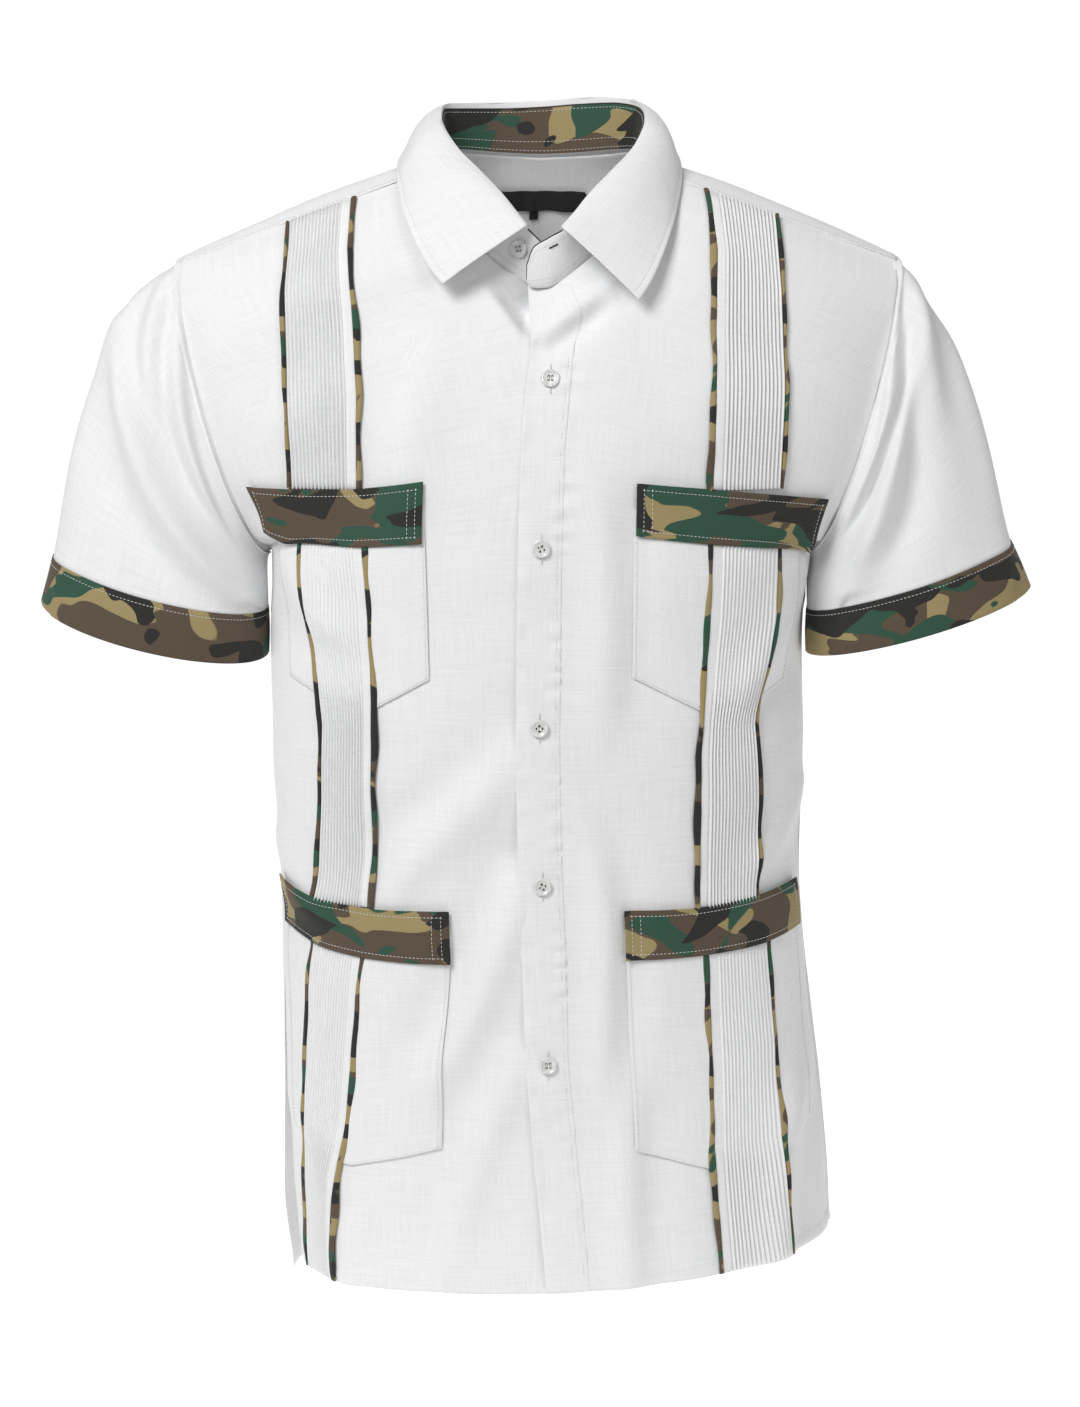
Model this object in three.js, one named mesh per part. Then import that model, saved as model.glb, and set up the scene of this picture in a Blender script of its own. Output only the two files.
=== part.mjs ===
// A short-sleeved guayabera shirt, worn form, as separate pieces of cloth.
// Millimetres, +Z up. The origin is the middle of the neck opening at the level of the
// shoulder points by the neck. The front looks along -Y, and the wearer's left is +X.
import * as THREE from 'three';

// ---- Driving sizes ----------------------------------------------------------------------
const CLOTH = 1.1;                  // wall of a panel
const LAYER = 1.0;                  // wall of a piece sewn onto a panel
const POCKET_LIFT = 2.1;            // undersides of the layers, above the panel's inner face
const BAND_LIFT = 3.9;
const FLAP_LIFT = 5.8;
const SEAM = 0.4;                   // gap left at a seam
const PLACKET_WIDTH = 29;
const PIPING_WIDTH = { inner: 4.5, outer: 3.2 };
const BUTTON = { radius: 6.5, thick: 2.6, rim: 1.2, dish: 0.7 };
const CHEST_FLAP_TOP = -216;        // heights where the tucked bands stop and start again
const CHEST_FLAP_FOOT = -251;
const LOW_FLAP_TOP = -497;
const LOW_FLAP_FOOT = -529;

const SIDES = { left: 1, right: -1 };

// ---- Materials --------------------------------------------------------------------------
const white = new THREE.MeshStandardMaterial({ color: 0xf1f1f0, roughness: 0.9, metalness: 0 });
const camo = new THREE.MeshStandardMaterial({ color: 0x6b6446, roughness: 0.9, metalness: 0 });
const pearl = new THREE.MeshStandardMaterial({ color: 0xf4f2ee, roughness: 0.3, metalness: 0 });
const black = new THREE.MeshStandardMaterial({ color: 0x1b1b1c, roughness: 0.8, metalness: 0 });

// ---- Small helpers ----------------------------------------------------------------------
const vec = (x, y, z) => new THREE.Vector3(x, y, z);
const mix = (a, b, share) => a + (b - a) * share;
const radians = (degrees) => degrees * Math.PI / 180;

// The slope at a row between two steps of a table, with no overshoot.
const slopeBetween = (before, after) => (before * after > 0 ? 2 * before * after / (before + after) : 0);

// A smooth value between the rows of a table: place runs from 0 to values.length - 1.
function between(values, place) {
  const last = values.length - 1;
  const low = Math.min(Math.max(Math.floor(place), 0), last - 1);
  const t = place - low;
  const step = values[low + 1] - values[low];
  const before = low > 0 ? values[low] - values[low - 1] : step;
  const after = low + 2 <= last ? values[low + 2] - values[low + 1] : step;
  const start = slopeBetween(before, step);
  const end = slopeBetween(step, after);
  return values[low] + t * (start + t * (3 * step - 2 * start - end + t * (start + end - 2 * step)));
}

// A value read off a table of [place, value] rows whose places fall or rise steadily.
function readOff(table, place) {
  const rising = table[table.length - 1][0] > table[0][0];
  const ahead = (row) => (rising ? row[0] >= place : row[0] <= place);
  const next = Math.min(Math.max(table.findIndex(ahead), 1), table.length - 1);
  const last = ahead(table[table.length - 1]) ? next : table.length - 1;
  const [p0, v0] = table[last - 1];
  const [p1, v1] = table[last];
  return mix(v0, v1, (place - p0) / (p1 - p0));
}

// A point on the conic from a to c that bends towards b, for a share of the way across.
function conic(a, b, c, weight, share) {
  const wa = (1 - share) ** 2;
  const wb = 2 * weight * share * (1 - share);
  const wc = share ** 2;
  return a.clone().multiplyScalar(wa).addScaledVector(b, wb).addScaledVector(c, wc)
    .divideScalar(wa + wb + wc);
}

// The normal of a surface at (across, down), turned away from the middle point given.
function normalAt(surface, across, down, middle) {
  const step = 0.004;
  const a = surface(Math.min(across + step, 1), down);
  const b = surface(Math.max(across - step, 0), down);
  const c = surface(across, Math.min(down + step, 1));
  const d = surface(across, Math.max(down - step, 0));
  const normal = a.sub(b).cross(c.sub(d)).normalize();
  const outward = surface(across, down).sub(middle);
  return normal.dot(outward) < 0 ? normal.negate() : normal;
}

// ---- Closed walls from two grids of points ----------------------------------------------
// lower and upper are grids [down][across]. closed joins the last column to the first.
function wallMesh(name, lower, upper, material, closed = false) {
  const rows = lower.length;
  const columns = lower[0].length;
  const points = [...lower.flat(), ...upper.flat()];
  const index = (layer, j, i) => layer * rows * columns + j * columns + (i % columns);
  const triangles = [];
  const quad = (a, b, c, d) => triangles.push([a, b, c], [a, c, d]);
  const span = closed ? columns : columns - 1;
  for (let j = 0; j < rows - 1; j += 1) {
    for (let i = 0; i < span; i += 1) {
      quad(index(1, j, i), index(1, j, i + 1), index(1, j + 1, i + 1), index(1, j + 1, i));
      quad(index(0, j, i), index(0, j + 1, i), index(0, j + 1, i + 1), index(0, j, i + 1));
    }
  }
  for (let i = 0; i < span; i += 1) {
    quad(index(0, 0, i), index(0, 0, i + 1), index(1, 0, i + 1), index(1, 0, i));
    quad(index(0, rows - 1, i + 1), index(0, rows - 1, i), index(1, rows - 1, i), index(1, rows - 1, i + 1));
  }
  if (!closed) {
    for (let j = 0; j < rows - 1; j += 1) {
      quad(index(0, j + 1, 0), index(0, j, 0), index(1, j, 0), index(1, j + 1, 0));
      quad(index(0, j, span), index(0, j + 1, span), index(1, j + 1, span), index(1, j, span));
    }
  }
  return solidMesh(name, points, triangles, material);
}

// A mesh of points and triangles, turned so that its faces look outward.
function solidMesh(name, points, triangles, material) {
  const volume = triangles.reduce((sum, [a, b, c]) => (
    sum + points[a].dot(points[b].clone().cross(points[c]))), 0);
  const order = volume > 0 ? triangles : triangles.map(([a, b, c]) => [a, c, b]);
  const geometry = new THREE.BufferGeometry();
  geometry.setAttribute('position', new THREE.Float32BufferAttribute(
    points.flatMap((point) => point.toArray()), 3));
  geometry.setIndex(order.flat());
  geometry.computeVertexNormals();
  const mesh = new THREE.Mesh(geometry, material);
  mesh.name = name;
  return mesh;
}

// A wall on a surface (across, down) -> point, between two heights over it.
function surfaceWall(name, surface, middleOf, from, to, counts, material, closed = false) {
  const grid = (height) => Array.from({ length: counts.down + 1 }, (_, j) => (
    Array.from({ length: counts.across + (closed ? 0 : 1) }, (_unused, i) => {
      const across = i / counts.across;
      const down = j / counts.down;
      const normal = normalAt(surface, across, down, middleOf(down));
      return surface(across, down).addScaledVector(normal, height);
    })));
  return wallMesh(name, grid(from), grid(to), material, closed);
}

// ---- Armhole: one closed line for the panels, the yoke and the sleeve -------------------
// turn is 0 at the shoulder tip, 180 at the underarm, positive round the front.
const ARMHOLE = {
  left: { topX: 239, topZ: -68, footX: 181, footZ: -268, depth: 46, skew: 14, bow: 12 },
  right: { topX: 241, topZ: -69.5, footX: 183, footZ: -268, depth: 46, skew: 14, bow: 13 },
};

// The point at a turn on a tube section that runs from a top point to a foot point.
function sectionPoint(side, s, turn) {
  const angle = radians(turn);
  const share = (1 - Math.cos(angle)) / 2;
  const chordX = s.footX - s.topX;
  const chordZ = s.footZ - s.topZ;
  const chord = Math.hypot(chordX, chordZ);
  const bow = Math.abs(Math.sin(angle)) * s.bow / chord;
  const depth = (s.depth - s.skew * Math.cos(angle)) * Math.sin(angle);
  const tilt = (s.tilt ?? 0) * Math.sin(angle);
  return vec(
    SIDES[side] * (s.topX + chordX * share - chordZ * bow),
    -depth,
    s.topZ + chordZ * share + chordX * bow - tilt,
  );
}

const armhole = (side, turn) => sectionPoint(side, ARMHOLE[side], turn);

// ---- Neck seam, from the front of a shoulder to the centre front ------------------------
const NECK_FRONT = [                                    // x, y, z
  [66, -18, -8], [64, -34, -28], [54, -46, -46], [38, -56, -63], [20, -63, -77],
];
const NECK_BACK = [[66, -18, -8], [68.5, 0, -1], [64, 20, 0], [50, 36, -1]];
const NECK_CENTRE_BACK = [[50, 36, -1], [34, 44, -2], [17, 47.5, -3], [0, 48, -4]];

// ---- Fronts -----------------------------------------------------------------------------
// One row for each line across a front, from its inner edge to the armhole or side seam.
// y and z are those of the inner end; bend is the point that the line bulges towards.
const FRONT_ROWS = [
  { y: -18, z: -8, turn: 12, bend: [150, -26, -38], weight: 1.0 },
  { y: -34, z: -28, turn: 30, bend: [150, -48, -54], weight: 1.0 },
  { y: -46, z: -46, turn: 46, bend: [150, -68, -72], weight: 1.0 },
  { y: -56, z: -63, turn: 60, bend: [150, -84, -88], weight: 1.0 },
  { y: -63, z: -77, turn: 73, bend: [150, -94, -102], weight: 0.95 },
  { y: -67, z: -86, turn: 86, bend: [150, -102, -118], weight: 0.9 },
  { y: -86, z: -122, turn: 106, bend: [152, -114, -152], weight: 0.85 },
  { y: -102, z: -165, turn: 130, bend: [156, -120, -196], weight: 0.76 },
  { y: -110, z: -212, turn: 154, bend: [166, -122, -238], weight: 0.74 },
  { y: -113, z: -262, turn: 180, bend: [181, -125, -271], weight: 0.92 },
];
// Below the armhole: outX and outZ are the side edge's, on the wearer's left and right.
const FRONT_LOWER_ROWS = [
  { y: -115, z: -325, left: [179.5, -330], right: [183.5, -330], weight: 0.9 },
  { y: -117, z: -400, left: [180.5, -404], right: [183.5, -404], weight: 0.86 },
  { y: -119, z: -480, left: [179, -482], right: [178.5, -484], weight: 0.82 },
  { y: -121, z: -560, left: [184, -558], right: [177, -562], weight: 0.8 },
  { y: -124, z: -640, left: [193, -634], right: [174.5, -644], weight: 0.78 },
  { y: -127, z: -705, left: [200, -694], right: [171.5, -712], weight: 0.76 },
  { y: -130, z: -757, left: [202, -741], right: [167, -767], weight: 0.76 },
];
// x of the front edges, by height: the left front laps over the right one.
const LEFT_EDGE = [
  [-84, -8.5], [-105, -1], [-122, -6], [-145, -8.5], [-190, -12.5], [-255, -14.5],
  [-382, -16], [-462, -14.6], [-523, -12], [-601, -10], [-658, -4.7], [-706, 0], [-757, 4.7],
];
const RIGHT_EDGE = [
  [-84, -4], [-105, 4], [-122, 5], [-145, -4], [-190, -12], [-255, -14], [-757, -18],
];
const LAP_DROP = { left: 0, right: 3.0 };   // how far the right front lies under the left

// Every row of one front, as the numbers that its lines are made from.
function frontRows(side) {
  const edge = side === 'left' ? LEFT_EDGE : RIGHT_EDGE;
  const drop = LAP_DROP[side];
  const innerX = (row, j) => (j < NECK_FRONT.length ? NECK_FRONT[j][0] : readOff(edge, row.z));
  const upper = FRONT_ROWS.map((row, j) => {
    const out = armhole(side, row.turn);
    const own = j < NECK_FRONT.length - 1 ? 0 : drop;
    return [innerX(row, j), row.y + own, row.z, Math.abs(out.x), out.y, out.z,
      row.bend[0], row.bend[1] + own, row.bend[2], row.weight];
  });
  const lower = FRONT_LOWER_ROWS.map((row) => {
    const [outX, outZ] = row[side];
    return [readOff(edge, row.z), row.y + drop, row.z, outX, -SEAM, outZ,
      outX, row.y + drop - 4, mix(row.z, outZ, 0.7), row.weight];
  });
  return [...upper, ...lower];
}

// A surface (across, down) from rows of inner point, outer point, bend and weight.
function rowSurface(side, rows) {
  const columns = rows[0].map((_, k) => rows.map((row) => row[k]));
  const sign = SIDES[side];
  return (across, down) => {
    const place = down * (rows.length - 1);
    const c = columns.map((column) => between(column, place));
    const inner = vec(sign * c[0], c[1], c[2]);
    const outer = vec(sign * c[3], c[4], c[5]);
    const bend = vec(sign * c[6], c[7], c[8]);
    return conic(inner, bend, outer, c[9], across);
  };
}

const FRONT = {
  left: rowSurface('left', frontRows('left')),
  right: rowSurface('right', frontRows('right')),
};
const bodyMiddle = (down) => vec(0, 0, -60 - 700 * down);

// The across share at which a front's line (down) reaches x, measured on the wearer's side.
function acrossAt(side, x, down) {
  let low = 0;
  let high = 1;
  for (let k = 0; k < 26; k += 1) {
    const middle = (low + high) / 2;
    if (FRONT[side](middle, down).x * SIDES[side] < x) low = middle;
    else high = middle;
  }
  return (low + high) / 2;
}

// The point over a front at (x, z), seen from the front, lifted off the cloth's inner face.
function onFront(side, x, z, lift) {
  let low = 0.001;
  let high = 0.999;
  for (let k = 0; k < 26; k += 1) {
    const middle = (low + high) / 2;
    if (FRONT[side](acrossAt(side, x, middle), middle).z > z) low = middle;
    else high = middle;
  }
  const across = acrossAt(side, x, low);
  const normal = normalAt(FRONT[side], across, low, bodyMiddle(low));
  return FRONT[side](across, low).addScaledVector(normal, lift);
}

// The height of the shoulder seam (down 0) or the hem (down 1) of a front at x.
const edgeHeight = (side, x, down) => FRONT[side](acrossAt(side, x, down), down).z;

// ---- Back -------------------------------------------------------------------------------
const BACK_LOWER_WEIGHT = 0.78;
const BACK_ROWS = [
  { y: 94, z: -97, turn: -68, bend: [140, 93, -104], weight: 1.0 },
  { y: 104, z: -135, turn: -90, bend: [150, 102, -142], weight: 0.95 },
  { y: 111, z: -175, turn: -112, bend: [155, 110, -184], weight: 0.9 },
  { y: 114, z: -215, turn: -140, bend: [162, 116, -228], weight: 0.85 },
  { y: 113, z: -262, turn: -180, bend: [178, 118, -268], weight: 0.78 },
];
const BACK_LOWER_ROWS = [
  { y: 109, z: -330, left: [179.5, -330], right: [183.5, -330] },
  { y: 104, z: -404, left: [180.5, -404], right: [183.5, -404] },
  { y: 103, z: -482, left: [179, -482], right: [178.5, -484] },
  { y: 107, z: -560, left: [184, -558], right: [177, -562] },
  { y: 113, z: -640, left: [193, -634], right: [177.5, -644] },
  { y: 119, z: -710, left: [200, -694], right: [178.5, -716] },
  { y: 124, z: -768, left: [203, -744], right: [172, -778] },
];

function backRows(side) {
  const upper = BACK_ROWS.map((row) => {
    const out = armhole(side, row.turn);
    return [0, row.y, row.z, Math.abs(out.x), out.y, out.z, ...row.bend, row.weight];
  });
  const lower = BACK_LOWER_ROWS.map((row) => {
    const [outX, outZ] = row[side];
    return [0, row.y, row.z, outX, SEAM, outZ, outX, row.y + 4, mix(row.z, outZ, 0.7),
      BACK_LOWER_WEIGHT];
  });
  return [...upper, ...lower];
}

const BACK = {
  left: rowSurface('left', backRows('left')),
  right: rowSurface('right', backRows('right')),
};

// The whole back, from the wearer's left edge (across 0) to the right one (across 1).
const backSurface = (across, down) => (
  across < 0.5 ? BACK.left(1 - 2 * across, down) : BACK.right(2 * across - 1, down));

// ---- Yoke: over both shoulders and round the back of the neck ---------------------------
// Two stretches a side: along the armhole, then along the back seam.
const YOKE_SHOULDER = {
  turns: [12, 0, -30, -68],
  neck: NECK_BACK,
  bends: [[150, -26, -38], [150, 0, -26], [150, 32, -28], [140, 68, -52]],
};
const YOKE_BACK = {
  shares: [1, 0.667, 0.333, 0],
  neck: NECK_CENTRE_BACK,
  bends: [[140, 68, -52], [92, 76, -46], [46, 77, -42], [0, 78, -40]],
};

// One line of the yoke from the neck to its outer edge, for a place along a stretch.
function yokeLine(side, stretch, place) {
  const sign = SIDES[side];
  const at = (table, k) => between(table.map((row) => row[k]), place);
  const neck = vec(sign * at(stretch.neck, 0), at(stretch.neck, 1), at(stretch.neck, 2));
  const bend = vec(sign * at(stretch.bends, 0), at(stretch.bends, 1), at(stretch.bends, 2));
  const outer = stretch.turns
    ? armhole(side, between(stretch.turns, place))
    : BACK[side](between(stretch.shares, place), 0);
  return (share) => conic(neck, bend, outer, 1, share);
}

// Lines from the wearer's left front, round the back, to the right front.
function yokeLines(perStretch) {
  const lines = [];
  const add = (side, stretch, backwards, skipFirst) => {
    for (let k = skipFirst ? 1 : 0; k <= perStretch; k += 1) {
      const share = 3 * (backwards ? 1 - k / perStretch : k / perStretch);
      lines.push(yokeLine(side, stretch, share));
    }
  };
  add('left', YOKE_SHOULDER, false, false);
  add('left', YOKE_BACK, false, true);
  add('right', YOKE_BACK, true, true);
  add('right', YOKE_SHOULDER, true, true);
  return lines;
}

function yokeMesh() {
  const lines = yokeLines(5);
  const across = 5;
  const ease = 0.006;                       // keeps the seams with the fronts, back and sleeves open
  const points = lines.map((line) => Array.from({ length: across + 1 }, (_, i) => (
    line(mix(ease, 1 - ease, i / across)))));
  points[0].forEach((point) => point.setY(point.y + 2 * SEAM));
  points[points.length - 1].forEach((point) => point.setY(point.y + 2 * SEAM));
  const middle = vec(0, 0, -200);
  const grid = (height) => points.map((line, j) => line.map((point, i) => {
    const normal = gridNormal(points, j, i, middle);
    return point.clone().addScaledVector(normal, height);
  }));
  return wallMesh('yoke', grid(0), grid(CLOTH), white);
}

// The normal of a grid of points at (j, i), turned away from a middle point.
function gridNormal(points, j, i, middle) {
  const rows = points.length - 1;
  const columns = points[0].length - 1;
  const alongRow = points[j][Math.min(i + 1, columns)].clone().sub(points[j][Math.max(i - 1, 0)]);
  const alongColumn = points[Math.min(j + 1, rows)][i].clone().sub(points[Math.max(j - 1, 0)][i]);
  const normal = alongRow.cross(alongColumn).normalize();
  return normal.dot(points[j][i].clone().sub(middle)) < 0 ? normal.negate() : normal;
}

// ---- Sleeves and cuffs ------------------------------------------------------------------
// Sections from the armhole to the top of the cuff, then the cuff's two edges.
const SLEEVE = {
  left: [
    { topX: 240, topZ: -68.5, footX: 184, footZ: -269, depth: 46, skew: 14, bow: 12, tilt: 0 },
    { topX: 257, topZ: -84, footX: 185, footZ: -275, depth: 50, skew: 9, bow: 10, tilt: 0 },
    { topX: 271, topZ: -111, footX: 185, footZ: -281, depth: 53, skew: 4, bow: 6, tilt: 0 },
    { topX: 288.5, topZ: -152, footX: 184.5, footZ: -289, depth: 54, skew: 1, bow: 2, tilt: 1 },
    { topX: 307, topZ: -207, footX: 184.5, footZ: -298, depth: 53, skew: 0, bow: 0, tilt: 2 },
    { topX: 323, topZ: -262, footX: 184.5, footZ: -308, depth: 51, skew: 0, bow: 0, tilt: 4 },
  ],
  right: [
    { topX: 242, topZ: -70, footX: 186.5, footZ: -269, depth: 46, skew: 14, bow: 13, tilt: 0 },
    { topX: 264, topZ: -84, footX: 188, footZ: -275, depth: 50, skew: 9, bow: 10, tilt: 0 },
    { topX: 285, topZ: -111, footX: 188, footZ: -281, depth: 53, skew: 4, bow: 6, tilt: 1 },
    { topX: 301, topZ: -152, footX: 188, footZ: -289, depth: 54, skew: 1, bow: 2, tilt: 3 },
    { topX: 317, topZ: -207, footX: 188, footZ: -298, depth: 53, skew: 0, bow: 0, tilt: 6 },
    { topX: 332, topZ: -270, footX: 188, footZ: -308, depth: 51, skew: 0, bow: 0, tilt: 9 },
  ],
};
const CUFF = {
  left: [
    { topX: 323.5, topZ: -262.5, footX: 184.5, footZ: -308.5, depth: 51, skew: 0, bow: 0, tilt: 4 },
    { topX: 336, topZ: -293, footX: 184.5, footZ: -338, depth: 50, skew: 0, bow: 0, tilt: 6 },
  ],
  right: [
    { topX: 332.3, topZ: -270.5, footX: 188, footZ: -308.5, depth: 51, skew: 0, bow: 0, tilt: 9 },
    { topX: 342.5, topZ: -303, footX: 188, footZ: -339, depth: 49, skew: 0, bow: 0, tilt: 12 },
  ],
};

// The section at a share of the way down a table of sections.
function sectionAt(sections, down) {
  const place = down * (sections.length - 1);
  const keys = Object.keys(sections[0]);
  return Object.fromEntries(keys.map((key) => [key, between(sections.map((s) => s[key]), place)]));
}

// A tube through the sections; across runs once round, and the surface is closed there.
function tubeWall(name, side, sections, from, to, counts, material) {
  const ring = (down) => {
    const section = sectionAt(sections, down);
    return Array.from({ length: counts.across }, (_, i) => (
      sectionPoint(side, section, 360 * i / counts.across - 180)));
  };
  const rings = Array.from({ length: counts.down + 1 }, (_, j) => ring(j / counts.down));
  const middles = rings.map((points) => (
    points.reduce((sum, point) => sum.add(point), vec(0, 0, 0)).divideScalar(points.length)));
  const grid = (height) => rings.map((points, j) => points.map((point, i) => {
    const next = points[(i + 1) % points.length];
    const before = points[(i + points.length - 1) % points.length];
    const below = rings[Math.min(j + 1, counts.down)][i];
    const above = rings[Math.max(j - 1, 0)][i];
    const normal = next.clone().sub(before).cross(below.clone().sub(above)).normalize();
    const outward = point.clone().sub(middles[j]);
    return point.clone().addScaledVector(normal, normal.dot(outward) < 0 ? -height : height);
  }));
  return wallMesh(name, grid(from), grid(to), material, true);
}

// ---- Collar -----------------------------------------------------------------------------
// The stand goes from the wearer's left end, round the back, to the right end. One row for
// each station: seam is its lower edge and top its upper edge.
const STAND_ROWS = [
  { seam: [-8.5, -73, -82], top: [-8.5, -74.5, -71] },
  { seam: [-4, -73, -82.5], top: [-4, -75.5, -60] },
  { seam: [5, -72.5, -81.5], top: [6, -77, -53.5] },
  { seam: [20, -66, -73], top: [17, -76, -47] },
  { seam: [37, -56.5, -58], top: [31, -62, -28] },
  { seam: [52, -44, -41], top: [50, -44, -12] },
  { seam: [62, -28, -17], top: [66, -24, 7] },
  { seam: [66, -8, 2], top: [70.5, 0, 24] },
  { seam: [64, 15, 4], top: [67, 22, 31] },
  { seam: [48, 34, 3], top: [50, 41, 34] },
  { seam: [25, 44, 1], top: [26, 52, 33] },
  { seam: [0, 46.5, 0], top: [0, 54, 31] },
  { seam: [-25, 44, 1], top: [-26, 52, 30] },
  { seam: [-48, 34, 3], top: [-50, 41, 30] },
  { seam: [-64, 15, 4], top: [-65, 22, 30] },
  { seam: [-66, -8, 2], top: [-66, -4, 20] },
  { seam: [-62, -28, -17], top: [-56, -24, 5] },
  { seam: [-52, -44, -41], top: [-40, -42, -13] },
  { seam: [-37, -55, -58], top: [-25, -57, -27] },
  { seam: [-20, -61, -72], top: [-12, -69, -44] },
  { seam: [-4, -66, -80.5], top: [-4, -71.5, -52] },
  { seam: [2, -67.5, -80], top: [2, -71.5, -58] },
];
// The fall hangs from the stand's top outside it. One row for each station: top is its roll,
// edge its free edge, and bulge how far the leaf bows out between them.
const FALL_ROWS = [
  { top: [14.5, -83, -46], edge: [65, -91, -93], bulge: 3 },
  { top: [27, -72, -33], edge: [73, -85, -81], bulge: 4 },
  { top: [45, -54, -13], edge: [84, -66, -57], bulge: 7 },
  { top: [63, -32, 6], edge: [91, -42, -35], bulge: 8 },
  { top: [71, -8, 23], edge: [95, -16, -12], bulge: 8 },
  { top: [70, 12, 31], edge: [93, 10, -2], bulge: 7 },
  { top: [62, 30, 36], edge: [78, 38, -6], bulge: 6 },
  { top: [36, 49, 38], edge: [42, 66, -12], bulge: 5 },
  { top: [0, 56, 35], edge: [0, 75, -15], bulge: 5 },
  { top: [-36, 49, 34], edge: [-42, 66, -13], bulge: 5 },
  { top: [-62, 30, 33.5], edge: [-79, 38, -7], bulge: 6 },
  { top: [-68, 12, 29], edge: [-94, 10, -2], bulge: 7 },
  { top: [-65, -8, 20], edge: [-96, -16, -13], bulge: 8 },
  { top: [-54, -29, 3], edge: [-93, -38, -31], bulge: 8 },
  { top: [-38, -50, -13], edge: [-86, -58, -49], bulge: 7 },
  { top: [-21, -68, -31], edge: [-74, -77, -71], bulge: 4 },
  { top: [-9, -81, -45], edge: [-64, -87, -83], bulge: 3 },
];

// A band surface between two lines of points; across runs along it and down across it.
function bandSurface(rows, from, to, bulgeOf = () => 0) {
  return (across, down) => {
    const place = across * (rows.length - 1);
    const at = (key, k) => between(rows.map((row) => row[key][k]), place);
    const a = vec(at(from, 0), at(from, 1), at(from, 2));
    const b = vec(at(to, 0), at(to, 1), at(to, 2));
    const point = a.clone().lerp(b, down);
    const outward = vec(point.x, point.y, 0).normalize();
    const bulge = between(rows.map(bulgeOf), place);
    return point.addScaledVector(outward, bulge * Math.sin(Math.PI * Math.sqrt(down)));
  };
}

const standSurface = bandSurface(STAND_ROWS, 'top', 'seam');
const fallSurface = bandSurface(FALL_ROWS, 'top', 'edge', (row) => row.bulge);
const collarMiddle = () => vec(0, -8, -30);

// ---- Pieces sewn onto the fronts --------------------------------------------------------
// x of each band's two edges by height, measured on the wearer's side from the centre.
const BANDS = {
  left: {
    upper: { inner: [[-27, 112], [-68, 117.5], [-145, 116], [-216, 114]],
      outer: [[-35, 157], [-82, 160], [-147, 161], [-216, 159]] },
    middle: { inner: [[-251, 113.5], [-303, 112], [-356, 109], [-397, 106], [-497, 106.5]],
      outer: [[-251, 157], [-307, 152.5], [-355, 145], [-375, 141.5], [-430, 144.5], [-497, 144]] },
    lower: { inner: [[-525, 112.5], [-601, 116], [-663, 117.5], [-757, 124]],
      outer: [[-530, 150.5], [-597, 157.5], [-662, 158.5], [-706, 163], [-757, 170]] },
  },
  right: {
    upper: { inner: [[-32, 126], [-68, 128], [-113, 124], [-158, 121.5], [-216, 121.5]],
      outer: [[-53, 168], [-82, 169.5], [-160, 167], [-216, 164.5]] },
    middle: { inner: [[-251, 117.5], [-303, 114], [-357, 111.5], [-411, 112], [-497, 114]],
      outer: [[-251, 157.5], [-308, 152], [-355, 146.5], [-376, 144], [-430, 146], [-497, 148.5]] },
    lower: { inner: [[-529, 119], [-629, 128], [-692, 134], [-757, 139]],
      outer: [[-529, 152], [-627, 157.5], [-700, 160], [-757, 160]] },
  },
};

// Flaps and pockets: one row for each station from the inner side outward, with the x and z
// of its upper and lower ends.
const FLAPS = {
  chest: {
    left: [[63.5, -213, 63, -247], [113, -217, 113, -254], [157, -222, 156, -259], [191, -227, 178, -261]],
    right: [[76, -212, 77, -253], [121, -217, 122, -256], [160, -218, 163, -254], [195, -219, 182, -247]],
  },
  low: {
    left: [[56, -498, 57, -531], [107, -498, 107, -530], [148, -494, 146, -527], [174, -491, 174, -522]],
    right: [[60.5, -499, 60, -535], [114, -499, 112, -533], [148, -496, 148, -529], [173, -488, 171, -520]],
  },
};
const POCKETS = {
  chest: {
    left: [[62, -230, 61, -341], [106, -232, 106, -365], [146, -236, 146, -360], [172, -240, 166, -351]],
    right: [[76, -230, 73, -343], [112, -232, 111, -365], [149, -233, 147, -357], [174, -233, 167, -347]],
  },
  low: {
    left: [[57, -512, 63, -660], [112, -512, 115, -677], [148, -510, 158, -672], [173, -507, 187, -655]],
    right: [[60, -514, 66, -661], [114, -514, 126, -679], [148, -511, 150, -672], [172, -504, 168, -662]],
  },
};

// A piece over a front: corner(a, d) gives its seen x and z for shares across and down.
function overlay(name, side, corner, lift, counts, material, thickness = LAYER) {
  const grid = (height) => Array.from({ length: counts.down + 1 }, (_, j) => (
    Array.from({ length: counts.across + 1 }, (_unused, i) => {
      const { x, z } = corner(i / counts.across, j / counts.down);
      return onFront(side, x, z, height);
    })));
  return wallMesh(name, grid(lift), grid(lift + thickness), material);
}

// Shares across and down to x and z, for stations with upper and lower ends.
function stationCorner(stations) {
  return (a, d) => {
    const place = a * (stations.length - 1);
    const low = Math.min(Math.floor(place), stations.length - 2);
    const at = (k) => mix(stations[low][k], stations[low + 1][k], place - low);
    return { x: mix(at(0), at(2), d), z: mix(at(1), at(3), d) };
  };
}

// Shares across and down to x and z, for a strip between two x tables and two heights.
// The levels are spaced down the strip's own middle, or down that of the band it lies beside.
function stripCorner(xFrom, xTo, topZ, footZ, middle) {
  return (a, d) => {
    const level = mix(topZ(middle[0]), footZ(middle[1]), d);
    const x = mix(xFrom(level), xTo(level), a);
    return { x, z: mix(topZ(x), footZ(x), d) };
  };
}

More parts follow.
